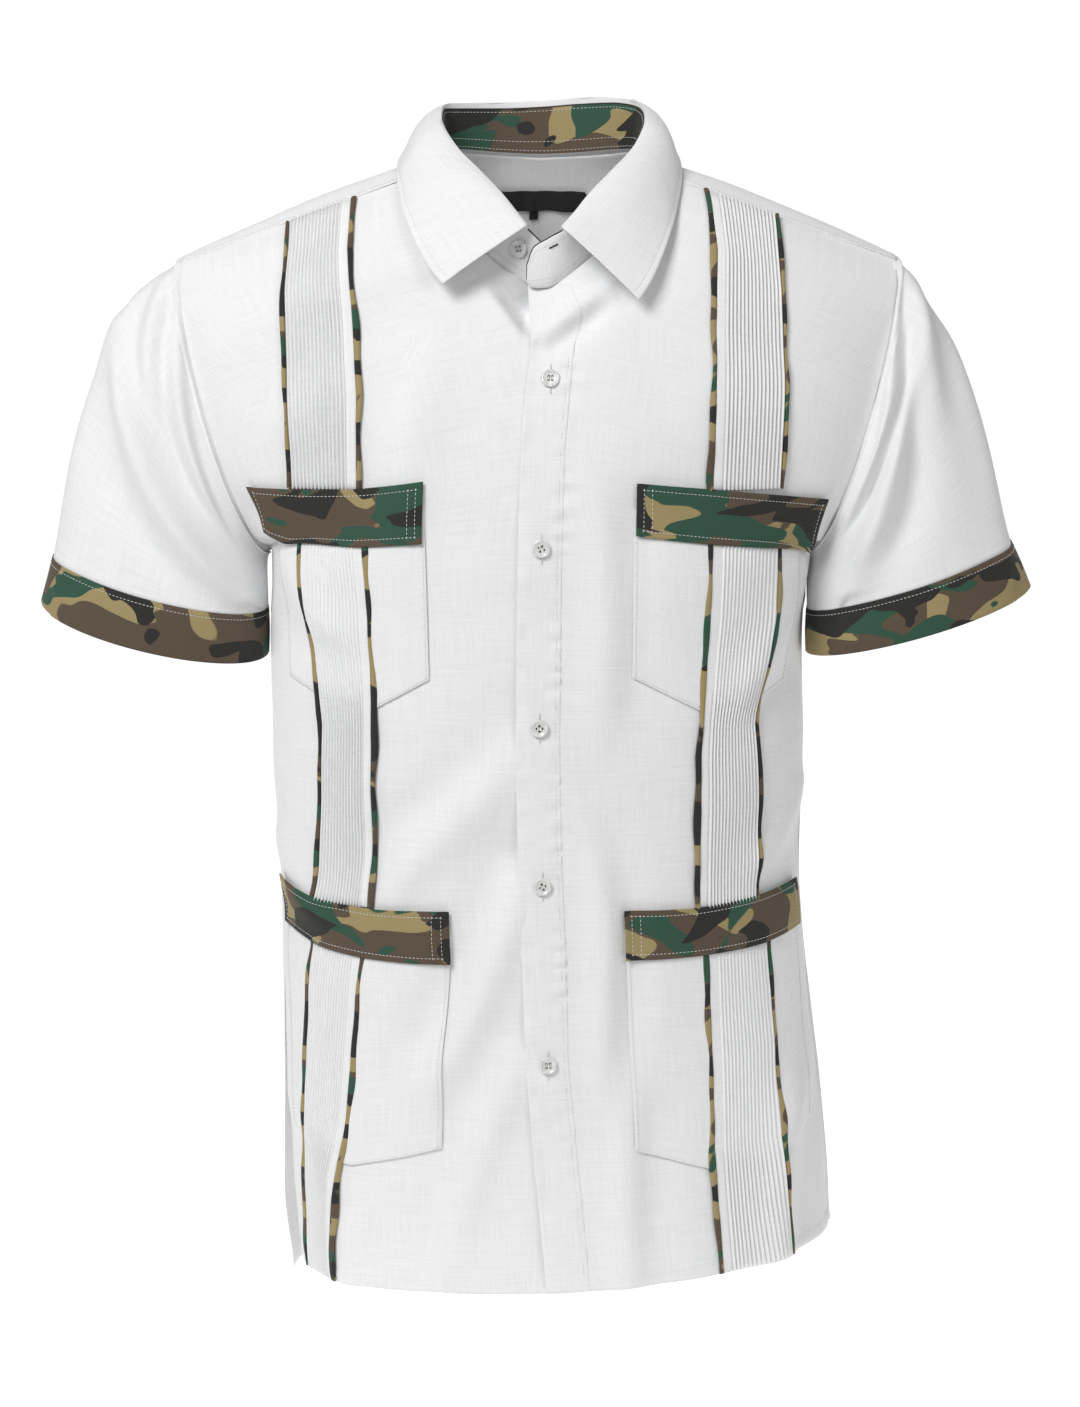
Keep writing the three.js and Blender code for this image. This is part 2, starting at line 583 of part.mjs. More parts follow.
// The two heights between which each band runs.
const BAND_SPANS = {
  upper: (side) => [(x) => edgeHeight(side, x, 0) - 1.5, () => CHEST_FLAP_TOP],
  middle: () => [() => CHEST_FLAP_FOOT, () => LOW_FLAP_TOP],
  lower: (side) => [() => LOW_FLAP_FOOT, (x) => edgeHeight(side, x, 1) + 0.5],
};

// A tucked band and the two strips of piping beside it.
function bandMeshes(side, part, down) {
  const { inner, outer } = BANDS[side][part];
  const [topZ, footZ] = BAND_SPANS[part](side);
  const middle = [0, inner.length - 1].map((k) => (
    (inner[k][1] + readOff(outer, inner[k][0])) / 2));
  const xOf = (table, shift) => (level) => readOff(table, level) + shift;
  const strip = (name, from, to, across, material) => overlay(
    name, side, stripCorner(from, to, topZ, footZ, middle), BAND_LIFT, { across, down }, material);
  return [
    strip(`band_${part}_${side}`, xOf(inner, 0), xOf(outer, 0), 3, white),
    strip(`piping_${part}_inner_${side}`, xOf(inner, -SEAM - PIPING_WIDTH.inner), xOf(inner, -SEAM), 1, camo),
    strip(`piping_${part}_outer_${side}`, xOf(outer, SEAM), xOf(outer, SEAM + PIPING_WIDTH.outer), 1, camo),
  ];
}

// The buttonhole strip down the left front's edge.
function placketMesh() {
  const edge = (shift) => (level) => readOff(LEFT_EDGE, level) + shift;
  const hem = (x) => edgeHeight('left', x, 1) + 0.5;
  const corner = stripCorner(edge(0.3), edge(PLACKET_WIDTH), () => -88, hem, [5, 10]);
  return overlay('placket', 'left', corner, POCKET_LIFT, { across: 2, down: 20 }, white);
}

// ---- Buttons ----------------------------------------------------------------------------
function buttonMesh(name, centre, normal) {
  const { radius, thick, rim, dish } = BUTTON;
  const profile = [
    [0, 0], [radius * 0.8, 0], [radius, thick * 0.45], [radius - rim * 0.4, thick],
    [radius - rim, thick], [radius - 1.6 * rim, thick - dish], [0, thick - dish],
  ].map(([r, h]) => new THREE.Vector2(r, h));
  const mesh = new THREE.Mesh(new THREE.LatheGeometry(profile, 8), pearl);
  mesh.name = name;
  mesh.position.copy(centre);
  mesh.quaternion.setFromUnitVectors(vec(0, 1, 0), normal);
  return mesh;
}

const BUTTON_HEIGHTS = [-145, -255, -374, -480, -601];
const BUTTON_INSET = 15.5;          // from the placket's edge to the middle of a button
const BUTTON_LIFT = POCKET_LIFT + LAYER + 0.4;
const STAND_BUTTON = { across: 0.915, down: 0.5, lift: CLOTH + 0.3 };

// The buttons down the placket, then the one on the stand's right end.
function buttonMeshes() {
  const onPlacket = BUTTON_HEIGHTS.map((z, k) => {
    const x = readOff(LEFT_EDGE, z) + BUTTON_INSET;
    const foot = onFront('left', x, z, BUTTON_LIFT);
    const normal = onFront('left', x, z, BUTTON_LIFT + 1).sub(foot).normalize();
    return buttonMesh(`button_${k + 1}`, foot, normal);
  });
  const { across, down, lift } = STAND_BUTTON;
  const normal = normalAt(standSurface, across, down, collarMiddle());
  const foot = standSurface(across, down).addScaledVector(normal, lift);
  return [...onPlacket, buttonMesh('button_stand', foot, normal)];
}

// ---- Neck label and size tab, on the inside of the yoke ---------------------------------
// half is the share of the back seam that each side covers; from and to are shares of the way
// from the neck to that seam.
const LABEL = { name: 'label', from: 0.27, to: 0.42, half: [-0.92, 0.92], across: 6 };
const SIZE_TAB = { name: 'size_tab', from: 0.44, to: 0.5, half: [-0.15, -0.03], across: 1 };

function yokeLabelMesh({ name, from, to, half, across }) {
  const surface = (share, down) => {
    const along = mix(half[0], half[1], share);
    const side = along < 0 ? 'right' : 'left';
    return yokeLine(side, YOKE_BACK, 3 - Math.abs(along))(mix(from, to, down));
  };
  const counts = { across, down: 1 };
  const clear = 2 * SEAM;
  return surfaceWall(name, surface, () => vec(0, 0, -100), -clear - LAYER, -clear, counts, black);
}

// ---- The shirt --------------------------------------------------------------------------
const shirt = new THREE.Group();
const panelCounts = { across: 10, down: 20 };
const pocketCounts = { across: 8, down: 7 };
const flapCounts = { across: 11, down: 2 };

for (const side of Object.keys(SIDES)) {
  shirt.add(surfaceWall(`front_${side}`, FRONT[side], bodyMiddle, 0, CLOTH, panelCounts, white));
  shirt.add(tubeWall(`sleeve_${side}`, side, SLEEVE[side], 0, CLOTH, { across: 18, down: 7 }, white));
  shirt.add(tubeWall(`cuff_${side}`, side, CUFF[side], 0, CLOTH + 0.3, { across: 18, down: 1 }, camo));
  for (const place of ['chest', 'low']) {
    const pocket = stationCorner(POCKETS[place][side]);
    const flap = stationCorner(FLAPS[place][side]);
    shirt.add(overlay(`pocket_${place}_${side}`, side, pocket, POCKET_LIFT, pocketCounts, white));
    shirt.add(overlay(`flap_${place}_${side}`, side, flap, FLAP_LIFT, flapCounts, camo));
  }
  bandMeshes(side, 'upper', 7).forEach((mesh) => shirt.add(mesh));
  bandMeshes(side, 'middle', 11).forEach((mesh) => shirt.add(mesh));
  bandMeshes(side, 'lower', 8).forEach((mesh) => shirt.add(mesh));
}
shirt.add(surfaceWall('back', backSurface, bodyMiddle, 0, CLOTH, { across: 15, down: 14 }, white));
shirt.add(yokeMesh());
shirt.add(surfaceWall('collar_stand', standSurface, collarMiddle, 0, CLOTH, { across: 34, down: 1 }, white));
shirt.add(surfaceWall('stand_lining', standSurface, collarMiddle, -SEAM - LAYER, -SEAM, { across: 34, down: 1 }, camo));
shirt.add(surfaceWall('collar_fall', fallSurface, collarMiddle, 0, CLOTH, { across: 30, down: 4 }, white));
shirt.add(placketMesh());
buttonMeshes().forEach((mesh) => shirt.add(mesh));
shirt.add(yokeLabelMesh(LABEL), yokeLabelMesh(SIZE_TAB));

export default shirt;
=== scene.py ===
"""The looks of a short-sleeved guayabera shirt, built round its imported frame.

Lengths in the tables are millimetres in the shirt's own frame: +Z up, the front towards -Y and
the wearer's left towards +X, from the middle of the neck opening. Meshes are made in metres.
"""

from __future__ import annotations

import logging
import math
from dataclasses import dataclass, field
from enum import Enum
from typing import Sequence

import bpy
import numpy as np
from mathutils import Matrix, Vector


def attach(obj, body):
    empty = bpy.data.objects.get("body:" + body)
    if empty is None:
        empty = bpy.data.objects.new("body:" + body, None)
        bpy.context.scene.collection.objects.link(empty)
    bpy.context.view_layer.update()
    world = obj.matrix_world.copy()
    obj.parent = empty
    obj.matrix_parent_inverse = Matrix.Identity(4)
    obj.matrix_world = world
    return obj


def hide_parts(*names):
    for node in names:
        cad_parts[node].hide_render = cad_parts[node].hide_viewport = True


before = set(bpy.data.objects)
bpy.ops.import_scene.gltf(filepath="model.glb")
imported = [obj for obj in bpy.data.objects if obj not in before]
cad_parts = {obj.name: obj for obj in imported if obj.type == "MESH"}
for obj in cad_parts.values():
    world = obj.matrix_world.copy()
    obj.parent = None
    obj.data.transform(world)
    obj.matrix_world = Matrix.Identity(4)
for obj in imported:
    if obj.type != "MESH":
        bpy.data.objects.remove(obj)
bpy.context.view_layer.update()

LOG = logging.getLogger("shirt")
MM = 0.001
BODY = "root"
CLOTH = 0.5  # thickness of one layer of cloth
HEM = 7.5  # depth of the turned hem
Array = np.ndarray


class Side(Enum):
    """A side of the shirt, by the wearer's own left and right."""

    LEFT = 1
    RIGHT = -1

    @property
    def word(self) -> str:
        """The side's name in piece names."""
        return self.name.lower()


class Slot(Enum):
    """The record's material slots."""

    WHITE = "white_cloth"
    CAMO = "camo_cloth"
    BUTTON = "button"
    TAPE = "black_tape"


# --- Shader expressions ---


class Tree:
    """A node tree under construction."""

    def __init__(self, tree: bpy.types.NodeTree) -> None:
        """Keeps the tree and empties it.

        Args:
            tree: the node tree to fill.
        """
        self.tree = tree
        tree.nodes.clear()

    def node(self, kind: str, settings: dict | None = None, inputs: dict | None = None) -> bpy.types.Node:
        """Adds one node.

        Args:
            kind: the node's type name.
            settings: attributes set before the inputs.
            inputs: values or links by socket name or number.

        Returns:
            The new node.
        """
        made = self.tree.nodes.new(kind)
        for key, value in (settings or {}).items():
            setattr(made, key, value)
        for key, value in (inputs or {}).items():
            self.feed(made.inputs[key], value)
        return made

    def feed(self, socket: bpy.types.NodeSocket, value: object) -> None:
        """Links or sets a socket.

        Args:
            socket: the input socket.
            value: a Value, an output socket, or a plain value.
        """
        if isinstance(value, Value):
            value = value.socket
        if isinstance(value, bpy.types.NodeSocket):
            self.tree.links.new(value, socket)
        else:
            socket.default_value = value

    def value(self, kind: str, settings: dict | None = None, inputs: dict | None = None,
              output: str | int = 0) -> "Value":
        """Adds a node and wraps one of its outputs.

        Args:
            kind: the node's type name.
            settings: attributes of the node.
            inputs: values or links of its sockets.
            output: the output's name or number.

        Returns:
            The wrapped output.
        """
        return Value(self, self.node(kind, settings, inputs).outputs[output])

    def mix(self, share: object, first: object, second: object) -> "Value":
        """Mixes two colours.

        Args:
            share: how much of the second shows, 0 to 1.
            first: the colour at 0.
            second: the colour at 1.

        Returns:
            The mixed colour.
        """
        return self.value("ShaderNodeMix", {"data_type": "RGBA"}, {0: share, 6: first, 7: second}, 2)


class Value:
    """A socket that takes part in Python arithmetic."""

    def __init__(self, tree: Tree, socket: bpy.types.NodeSocket) -> None:
        """Wraps an output socket.

        Args:
            tree: the tree it belongs to.
            socket: the output socket.
        """
        self.tree = tree
        self.socket = socket

    def _math(self, operation: str, first: object, second: object = 0.0, third: object = 0.0) -> "Value":
        """Adds a Math node.

        Args:
            operation: the node's operation.
            first: the first input.
            second: the second input.
            third: the third input.

        Returns:
            The result.
        """
        return self.tree.value("ShaderNodeMath", {"operation": operation}, {0: first, 1: second, 2: third})

    def __add__(self, other: object) -> "Value":
        """Sum."""
        return self._math("ADD", self, other)

    __radd__ = __add__

    def __mul__(self, other: object) -> "Value":
        """Product."""
        return self._math("MULTIPLY", self, other)

    __rmul__ = __mul__

    def __sub__(self, other: object) -> "Value":
        """Difference."""
        return self._math("SUBTRACT", self, other)

    def __truediv__(self, other: object) -> "Value":
        """Quotient."""
        return self._math("DIVIDE", self, other)

    def above(self, edge: float, blur: float) -> "Value":
        """A mask that rises from 0 to 1 across an edge.

        Args:
            edge: the value at which the mask is a half.
            blur: how wide the rise is.

        Returns:
            The mask.
        """
        steep = (self - (edge - blur / 2)) / blur
        return self._math("MINIMUM", self._math("MAXIMUM", steep, 0.0), 1.0)


def new_material(name: str) -> tuple[bpy.types.Material, Tree]:
    """Makes an empty node material.

    Args:
        name: the material's name.

    Returns:
        The material and its tree.
    """
    material = bpy.data.materials.new(name)
    material.use_nodes = True
    return material, Tree(material.node_tree)


def close_material(tree: Tree, settings: dict) -> None:
    """Adds the surface shader and the output.

    Args:
        tree: the material's tree.
        settings: values or links of the Principled shader's sockets.
    """
    shader = tree.node("ShaderNodeBsdfPrincipled", None, settings)
    tree.node("ShaderNodeOutputMaterial", None, {"Surface": shader.outputs[0]})


# --- Finishes ---


@dataclass(frozen=True)
class WhiteCloth:
    """White plain weave with thick and thin threads."""

    name: str = "white_slub_cloth"
    light: tuple = (0.88, 0.882, 0.886, 1.0)
    shade: tuple = (0.785, 0.789, 0.796, 1.0)
    threads_per_m: float = 820.0
    slub_per_m: float = 27.0
    bump: float = 0.14

    def build(self) -> bpy.types.Material:
        """Makes the material from the piece's cloth map."""
        material, tree = new_material(self.name)
        cloth = tree.node("ShaderNodeUVMap", {"uv_map": "cloth"}).outputs[0]
        weft = self._threads(tree, cloth, (self.slub_per_m, self.threads_per_m, 1.0))
        warp = self._threads(tree, cloth, (self.threads_per_m, self.slub_per_m, 1.0))
        weave = (weft + warp) * 0.5
        soft = tree.value("ShaderNodeTexNoise", None, {"Vector": cloth, "Scale": 18.0, "Detail": 2.0})
        colour = tree.mix(weave.above(0.49, 0.26) * 0.75 + soft * 0.22, self.shade, self.light)
        bump = tree.node("ShaderNodeBump", None, {
            "Height": weave, "Strength": self.bump, "Distance": 0.0006})
        close_material(tree, {
            "Base Color": colour, "Roughness": 0.86, "Normal": bump.outputs[0],
            "Specular IOR Level": 0.22, "Sheen Weight": 0.18, "Sheen Roughness": 0.5})
        return material

    @staticmethod
    def _threads(tree: Tree, cloth: bpy.types.NodeSocket, scale: tuple) -> Value:
        """Streaks along one direction of the weave.

        Args:
            tree: the material's tree.
            cloth: the cloth map's output.
            scale: streaks per metre along the map's axes.

        Returns:
            A value near 0.5 that varies from thread to thread.
        """
        stretched = tree.node("ShaderNodeMapping", None, {"Vector": cloth, "Scale": scale})
        return tree.value("ShaderNodeTexNoise", None, {
            "Vector": stretched.outputs[0], "Scale": 1.0, "Detail": 2.0, "Roughness": 0.6})


@dataclass(frozen=True)
class CamoCloth:
    """Cotton printed with a common woodland camouflage."""

    name: str = "camouflage_cloth"
    tan: tuple = (0.335, 0.262, 0.118, 1.0)
    brown: tuple = (0.092, 0.064, 0.04, 1.0)
    green: tuple = (0.018, 0.075, 0.045, 1.0)
    black: tuple = (0.0125, 0.0125, 0.0118, 1.0)
    blobs_per_m: float = 21.0

    def build(self) -> bpy.types.Material:
        """Makes the material from the piece's cloth map."""
        material, tree = new_material(self.name)
        cloth = tree.node("ShaderNodeUVMap", {"uv_map": "cloth"}).outputs[0]
        brown = self._patches(tree, cloth, (0.0, 0.0, 0.0), 1.0).above(0.488, 0.006)
        green = self._patches(tree, cloth, (3.1, 7.7, 1.0), 1.1).above(0.566, 0.006)
        black = self._patches(tree, cloth, (9.3, 2.2, 2.0), 1.15).above(0.556, 0.006)
        colour = tree.mix(brown, self.tan, self.brown)
        colour = tree.mix(green, colour, self.green)
        colour = tree.mix(black, colour, self.black)
        grain = tree.value("ShaderNodeTexNoise", None, {"Vector": cloth, "Scale": 900.0, "Detail": 1.0})
        worn = tree.mix(grain * 0.07, colour, (0.42, 0.4, 0.36, 1.0))
        bump = tree.node("ShaderNodeBump", None, {"Height": grain, "Strength": 0.25, "Distance": 0.0005})
        close_material(tree, {
            "Base Color": worn, "Roughness": 0.82, "Normal": bump.outputs[0],
            "Specular IOR Level": 0.25, "Sheen Weight": 0.08})
        return material

    def _patches(self, tree: Tree, cloth: bpy.types.NodeSocket, shift: tuple, size: float) -> Value:
        """A field of lobed patches.

        Args:
            tree: the material's tree.
            cloth: the cloth map's output.
            shift: where in the pattern this colour is taken from.
            size: how much finer it is than the first colour.

        Returns:
            The field, about 0.5 on average.
        """
        moved = tree.node("ShaderNodeMapping", None, {
            "Vector": cloth, "Location": shift, "Scale": (0.72 * size, 1.25 * size, 1.0)})
        return tree.value("ShaderNodeTexNoise", None, {
            "Vector": moved.outputs[0], "Scale": self.blobs_per_m, "Detail": 1.6,
            "Roughness": 0.42, "Distortion": 0.75})


@dataclass(frozen=True)
class PlainFinish:
    """A finish with one colour and a faint grain."""

    name: str
    colour: tuple
    roughness: float
    grain_per_m: float = 1200.0
    grain: float = 0.08
    bump: float = 0.15

    def build(self) -> bpy.types.Material:
        """Makes the material from the piece's own coordinates."""
        material, tree = new_material(self.name)
        place = tree.node("ShaderNodeTexCoord").outputs["Object"]
        noise = tree.value("ShaderNodeTexNoise", None, {
            "Vector": place, "Scale": self.grain_per_m, "Detail": 2.0})
        dark = tuple(c * 0.72 for c in self.colour[:3]) + (1.0,)
        bump = tree.node("ShaderNodeBump", None, {"Height": noise, "Strength": self.bump, "Distance": 0.0003})
        close_material(tree, {
            "Base Color": tree.mix(noise * self.grain * 4.0, self.colour, dark),
            "Roughness": self.roughness, "Normal": bump.outputs[0]})
        return material


@dataclass(frozen=True)
class Pearl:
    """The milky, faintly swirled plastic of shirt buttons."""

    name: str = "pearl_button"

    def build(self) -> bpy.types.Material:
        """Makes the material from the piece's own coordinates."""
        material, tree = new_material(self.name)
        place = tree.node("ShaderNodeTexCoord").outputs["Object"]
        swirl = tree.value("ShaderNodeTexNoise", None, {
            "Vector": place, "Scale": 140.0, "Detail": 2.0, "Distortion": 2.4})
        colour = tree.mix(swirl.above(0.5, 0.5), (0.6, 0.6, 0.59, 1.0), (0.86, 0.855, 0.84, 1.0))
        close_material(tree, {
            "Base Color": colour, "Roughness": 0.24, "Coat Weight": 0.5, "Coat Roughness": 0.08})
        return material


@dataclass
class Wardrobe:
    """Every finish that the shirt uses, made once."""

    white: bpy.types.Material = field(default_factory=lambda: WhiteCloth().build())
    camo: bpy.types.Material = field(default_factory=lambda: CamoCloth().build())
    pearl: bpy.types.Material = field(default_factory=lambda: Pearl().build())
    tape: bpy.types.Material = field(default_factory=lambda: PlainFinish(
        "black_woven_tape", (0.014, 0.014, 0.015, 1.0), 0.7).build())
    # Dark binding finish, also used as painted shade inside the button holes.
    binding: bpy.types.Material = field(default_factory=lambda: PlainFinish(
        "dark_binding", (0.028, 0.03, 0.03, 1.0), 0.8).build())
    thread: bpy.types.Material = field(default_factory=lambda: PlainFinish(
        "white_thread", (0.74, 0.74, 0.72, 1.0), 0.6).build())


# --- Tables, curves and folds ---


def between(values: Array, place: Array) -> Array:
    """Smooth values between the rows of a table, with no overshoot.

    Args:
        values: the table, one row for each station.
        place: stations, from 0 to the last row's number.

    Returns:
        The values at those stations.
    """
    values = np.asarray(values, float)
    place = np.asarray(place, float)
    steps = np.diff(values, axis=0)
    total = np.where(steps[:-1] + steps[1:] == 0, 1, steps[:-1] + steps[1:])
    inner = np.where(steps[:-1] * steps[1:] > 0, 2 * steps[:-1] * steps[1:] / total, 0.0)
    slopes = np.concatenate([steps[:1], inner, steps[-1:]])
    low = np.clip(np.floor(place).astype(int), 0, len(steps) - 1)
    share = (place - low).reshape(place.shape + (1,) * (values.ndim - 1))
    step, start, end = steps[low], slopes[low], slopes[low + 1]
    bend = 3 * step - 2 * start - end + share * (start + end - 2 * step)
    return values[low] + share * (start + share * bend)


def read_off(table: Sequence[Sequence[float]], place: Array) -> Array:
    """Values read off a table of (place, value) rows.

    Args:
        table: rows whose places rise or fall steadily.
        place: where to read it.

    Returns:
        The values there, level past either end.
    """
    rows = sorted(table, key=lambda row: row[0])
    return np.interp(place, [row[0] for row in rows], [row[1] for row in rows])


def conic(start: Array, bend: Array, end: Array, weight: Array, share: Array) -> Array:
    """Points on conics that run from start to end and bend towards a point.

    Args:
        start: first points.
        bend: the points that they bend towards.
        end: last points.
        weight: how strongly they bend.
        share: how far along, 0 to 1.

    Returns:
        The points.
    """
    first = (1 - share) ** 2
    middle = 2 * weight * share * (1 - share)
    last = share ** 2
    total = first + middle + last
    return (start * first[..., None] + bend * middle[..., None] + end * last[..., None]) / total[..., None]


@dataclass(frozen=True)
class Fold:
    """A soft ridge or trough along a line on a panel, in that panel's own flat measures."""

    line: tuple
    height: float
    width: float
    lean: float = 0.6
    start: float = 0.0
    end: float = 0.0

    def lift(self, x: Array, y: Array) -> Array:
        """How far the fold moves the cloth out.

        Args:
            x: first flat measure.
            y: second flat measure.

        Returns:
            The lift in millimetres.
        """
        points = between(np.array(self.line, float), np.linspace(0, len(self.line) - 1, 4 * len(self.line)))
        lengths = np.concatenate([[0.0], np.cumsum(np.linalg.norm(np.diff(points, axis=0), axis=1))])
        best = np.full(x.shape, 1e9)
        side = np.zeros(x.shape)
        along = np.zeros(x.shape)
        for (a, b), so_far in zip(zip(points[:-1], points[1:]), lengths):
            run = b - a
            size = float(np.hypot(*run)) or 1.0
            share = np.clip(((x - a[0]) * run[0] + (y - a[1]) * run[1]) / size ** 2, 0, 1)
            dx, dy = x - a[0] - share * run[0], y - a[1] - share * run[1]
            far = np.hypot(dx, dy)
            near = far < best
            best = np.where(near, far, best)
            side = np.where(near, np.sign(run[0] * dy - run[1] * dx) * far, side)
            along = np.where(near, (so_far + share * size) / lengths[-1], along)
        fade = self._fade(along)
        ridge = np.exp(-(side / self.width) ** 2)
        trough = np.exp(-((side - 1.55 * self.width * np.sign(self.lean)) / (1.25 * self.width)) ** 2)
        return self.height * fade * (ridge - abs(self.lean) * trough)

    def _fade(self, along: Array) -> Array:
        """How strong the fold is along its line; start and end say what is left at its tips."""
        rise = np.sin(np.clip(along / 0.38, 0, 1) * math.pi / 2) ** 2
        fall = np.sin(np.clip((1 - along) / 0.38, 0, 1) * math.pi / 2) ** 2
        return (self.start + (1 - self.start) * rise) * (self.end + (1 - self.end) * fall)


@dataclass(frozen=True)
class Roll:
    """Cloth that falls away inward beyond a straight line, below a height where it is held."""

    start: tuple[float, float]
    end: tuple[float, float]
    depth: float
    width: float
    held_at: float

    def lift(self, x: Array, y: Array) -> Array:
        """How far the roll moves the cloth in, as a negative lift.

        Args:
            x: first flat measure.
            y: second flat measure.

        Returns:
            The lift in millimetres.
        """
        run_x, run_y = self.end[0] - self.start[0], self.end[1] - self.start[1]
        size = math.hypot(run_x, run_y)
        far = (run_y * (x - self.start[0]) - run_x * (y - self.start[1])) / size
        share = np.clip(far / self.width, 0, 1)
        along = ((x - self.start[0]) * run_x + (y - self.start[1]) * run_y) / size ** 2
        inside = np.clip((1.12 - along) / 0.3, 0, 1) * np.clip((self.held_at - y) / 14, 0, 1)
        ridge = 1.6 * np.exp(-((far + 2.0) / 4.0) ** 2) * np.clip((1.2 - along) / 0.4, 0, 1)
        return (ridge - self.depth * share * share * (3 - 2 * share)) * inside


@dataclass(frozen=True)
class Ripple:
    """Faint uneven waves over a whole panel."""

    height: float
    long_x: float
    long_y: float
    seed: int

    def lift(self, x: Array, y: Array) -> Array:
        """How far the waves move the cloth out.

        Args:
            x: first flat measure.
            y: second flat measure.

        Returns:
            The lift in millimetres.
        """
        draw = np.random.default_rng(self.seed)
        total = np.zeros(x.shape)
        for _ in range(7):
            kx, ky = draw.normal(0, 1, 2)
            phase = draw.uniform(0, 2 * math.pi)
            total += np.sin(2 * math.pi * (kx * x / self.long_x + ky * y / self.long_y) + phase)
        return self.height * total / math.sqrt(7)


@dataclass(frozen=True)
class Pucker:
    """Small gathers across a seam, strongest on it."""

    seam: tuple
    height: float
    reach: float
    pitch: float
    seed: int

    def lift(self, x: Array, y: Array) -> Array:
        """How far the gathers move the cloth out.

        Args:
            x: first flat measure.
            y: second flat measure, along which the seam mostly runs.

        Returns:
            The lift in millimetres.
        """
        far = np.abs(x - read_off([(p[1], p[0]) for p in self.seam], y)) / self.reach
        draw = np.random.default_rng(self.seed)
        a, b, c = draw.uniform(0, 2 * math.pi, 3)
        wander = 1.7 * np.sin(2 * math.pi * y / (5.3 * self.pitch) + b)
        beat = np.sin(2 * math.pi * y / self.pitch + a + wander)
        slow = 0.55 + 0.45 * np.sin(2 * math.pi * y / (7.9 * self.pitch) + c)
        inside = (y > min(p[1] for p in self.seam)) & (y < max(p[1] for p in self.seam))
        return self.height * beat * slow * np.exp(-far ** 2) * inside


def lift_of(creases: Sequence[Fold | Roll | Ripple | Pucker], x: Array, y: Array) -> Array:
    """The lift of several creases together.

    Args:
        creases: folds, rolls, ripples and puckers.
        x: first flat measure.
        y: second flat measure.

    Returns:
        The summed lift in millimetres.
    """
    total = np.zeros(np.shape(x))
    for crease in creases:
        total = total + crease.lift(x, y)
    return total


# --- Meshes ---


def grid_normals(points: Array) -> Array:
    """Unit normals of a grid of points.

    Args:
        points: rows by columns by three.

    Returns:
        Normals of the same shape, down crossed with across.
    """
    return unit(np.cross(np.gradient(points, axis=0), np.gradient(points, axis=1)))


def cloth_map(points: Array, shift: tuple[float, float] = (0.0, 0.0)) -> Array:
    """Flat cloth measures of a grid, in metres, from its own lengths.

    Args:
        points: rows by columns by three, in millimetres.
        shift: where on the cloth the piece is cut, in metres.

    Returns:
        Rows by columns by two.
    """
    across = np.linalg.norm(np.diff(points, axis=1), axis=-1)
    down = np.linalg.norm(np.diff(points, axis=0), axis=-1).mean(axis=1)
    u = np.concatenate([np.zeros((len(points), 1)), np.cumsum(across, axis=1)], axis=1)
    u = u - u[:, -1:] / 2
    v = np.concatenate([[0.0], np.cumsum(down)])
    flat = np.stack([u, np.broadcast_to(-v[:, None], u.shape)], axis=-1) * MM
    return flat + np.array(shift)


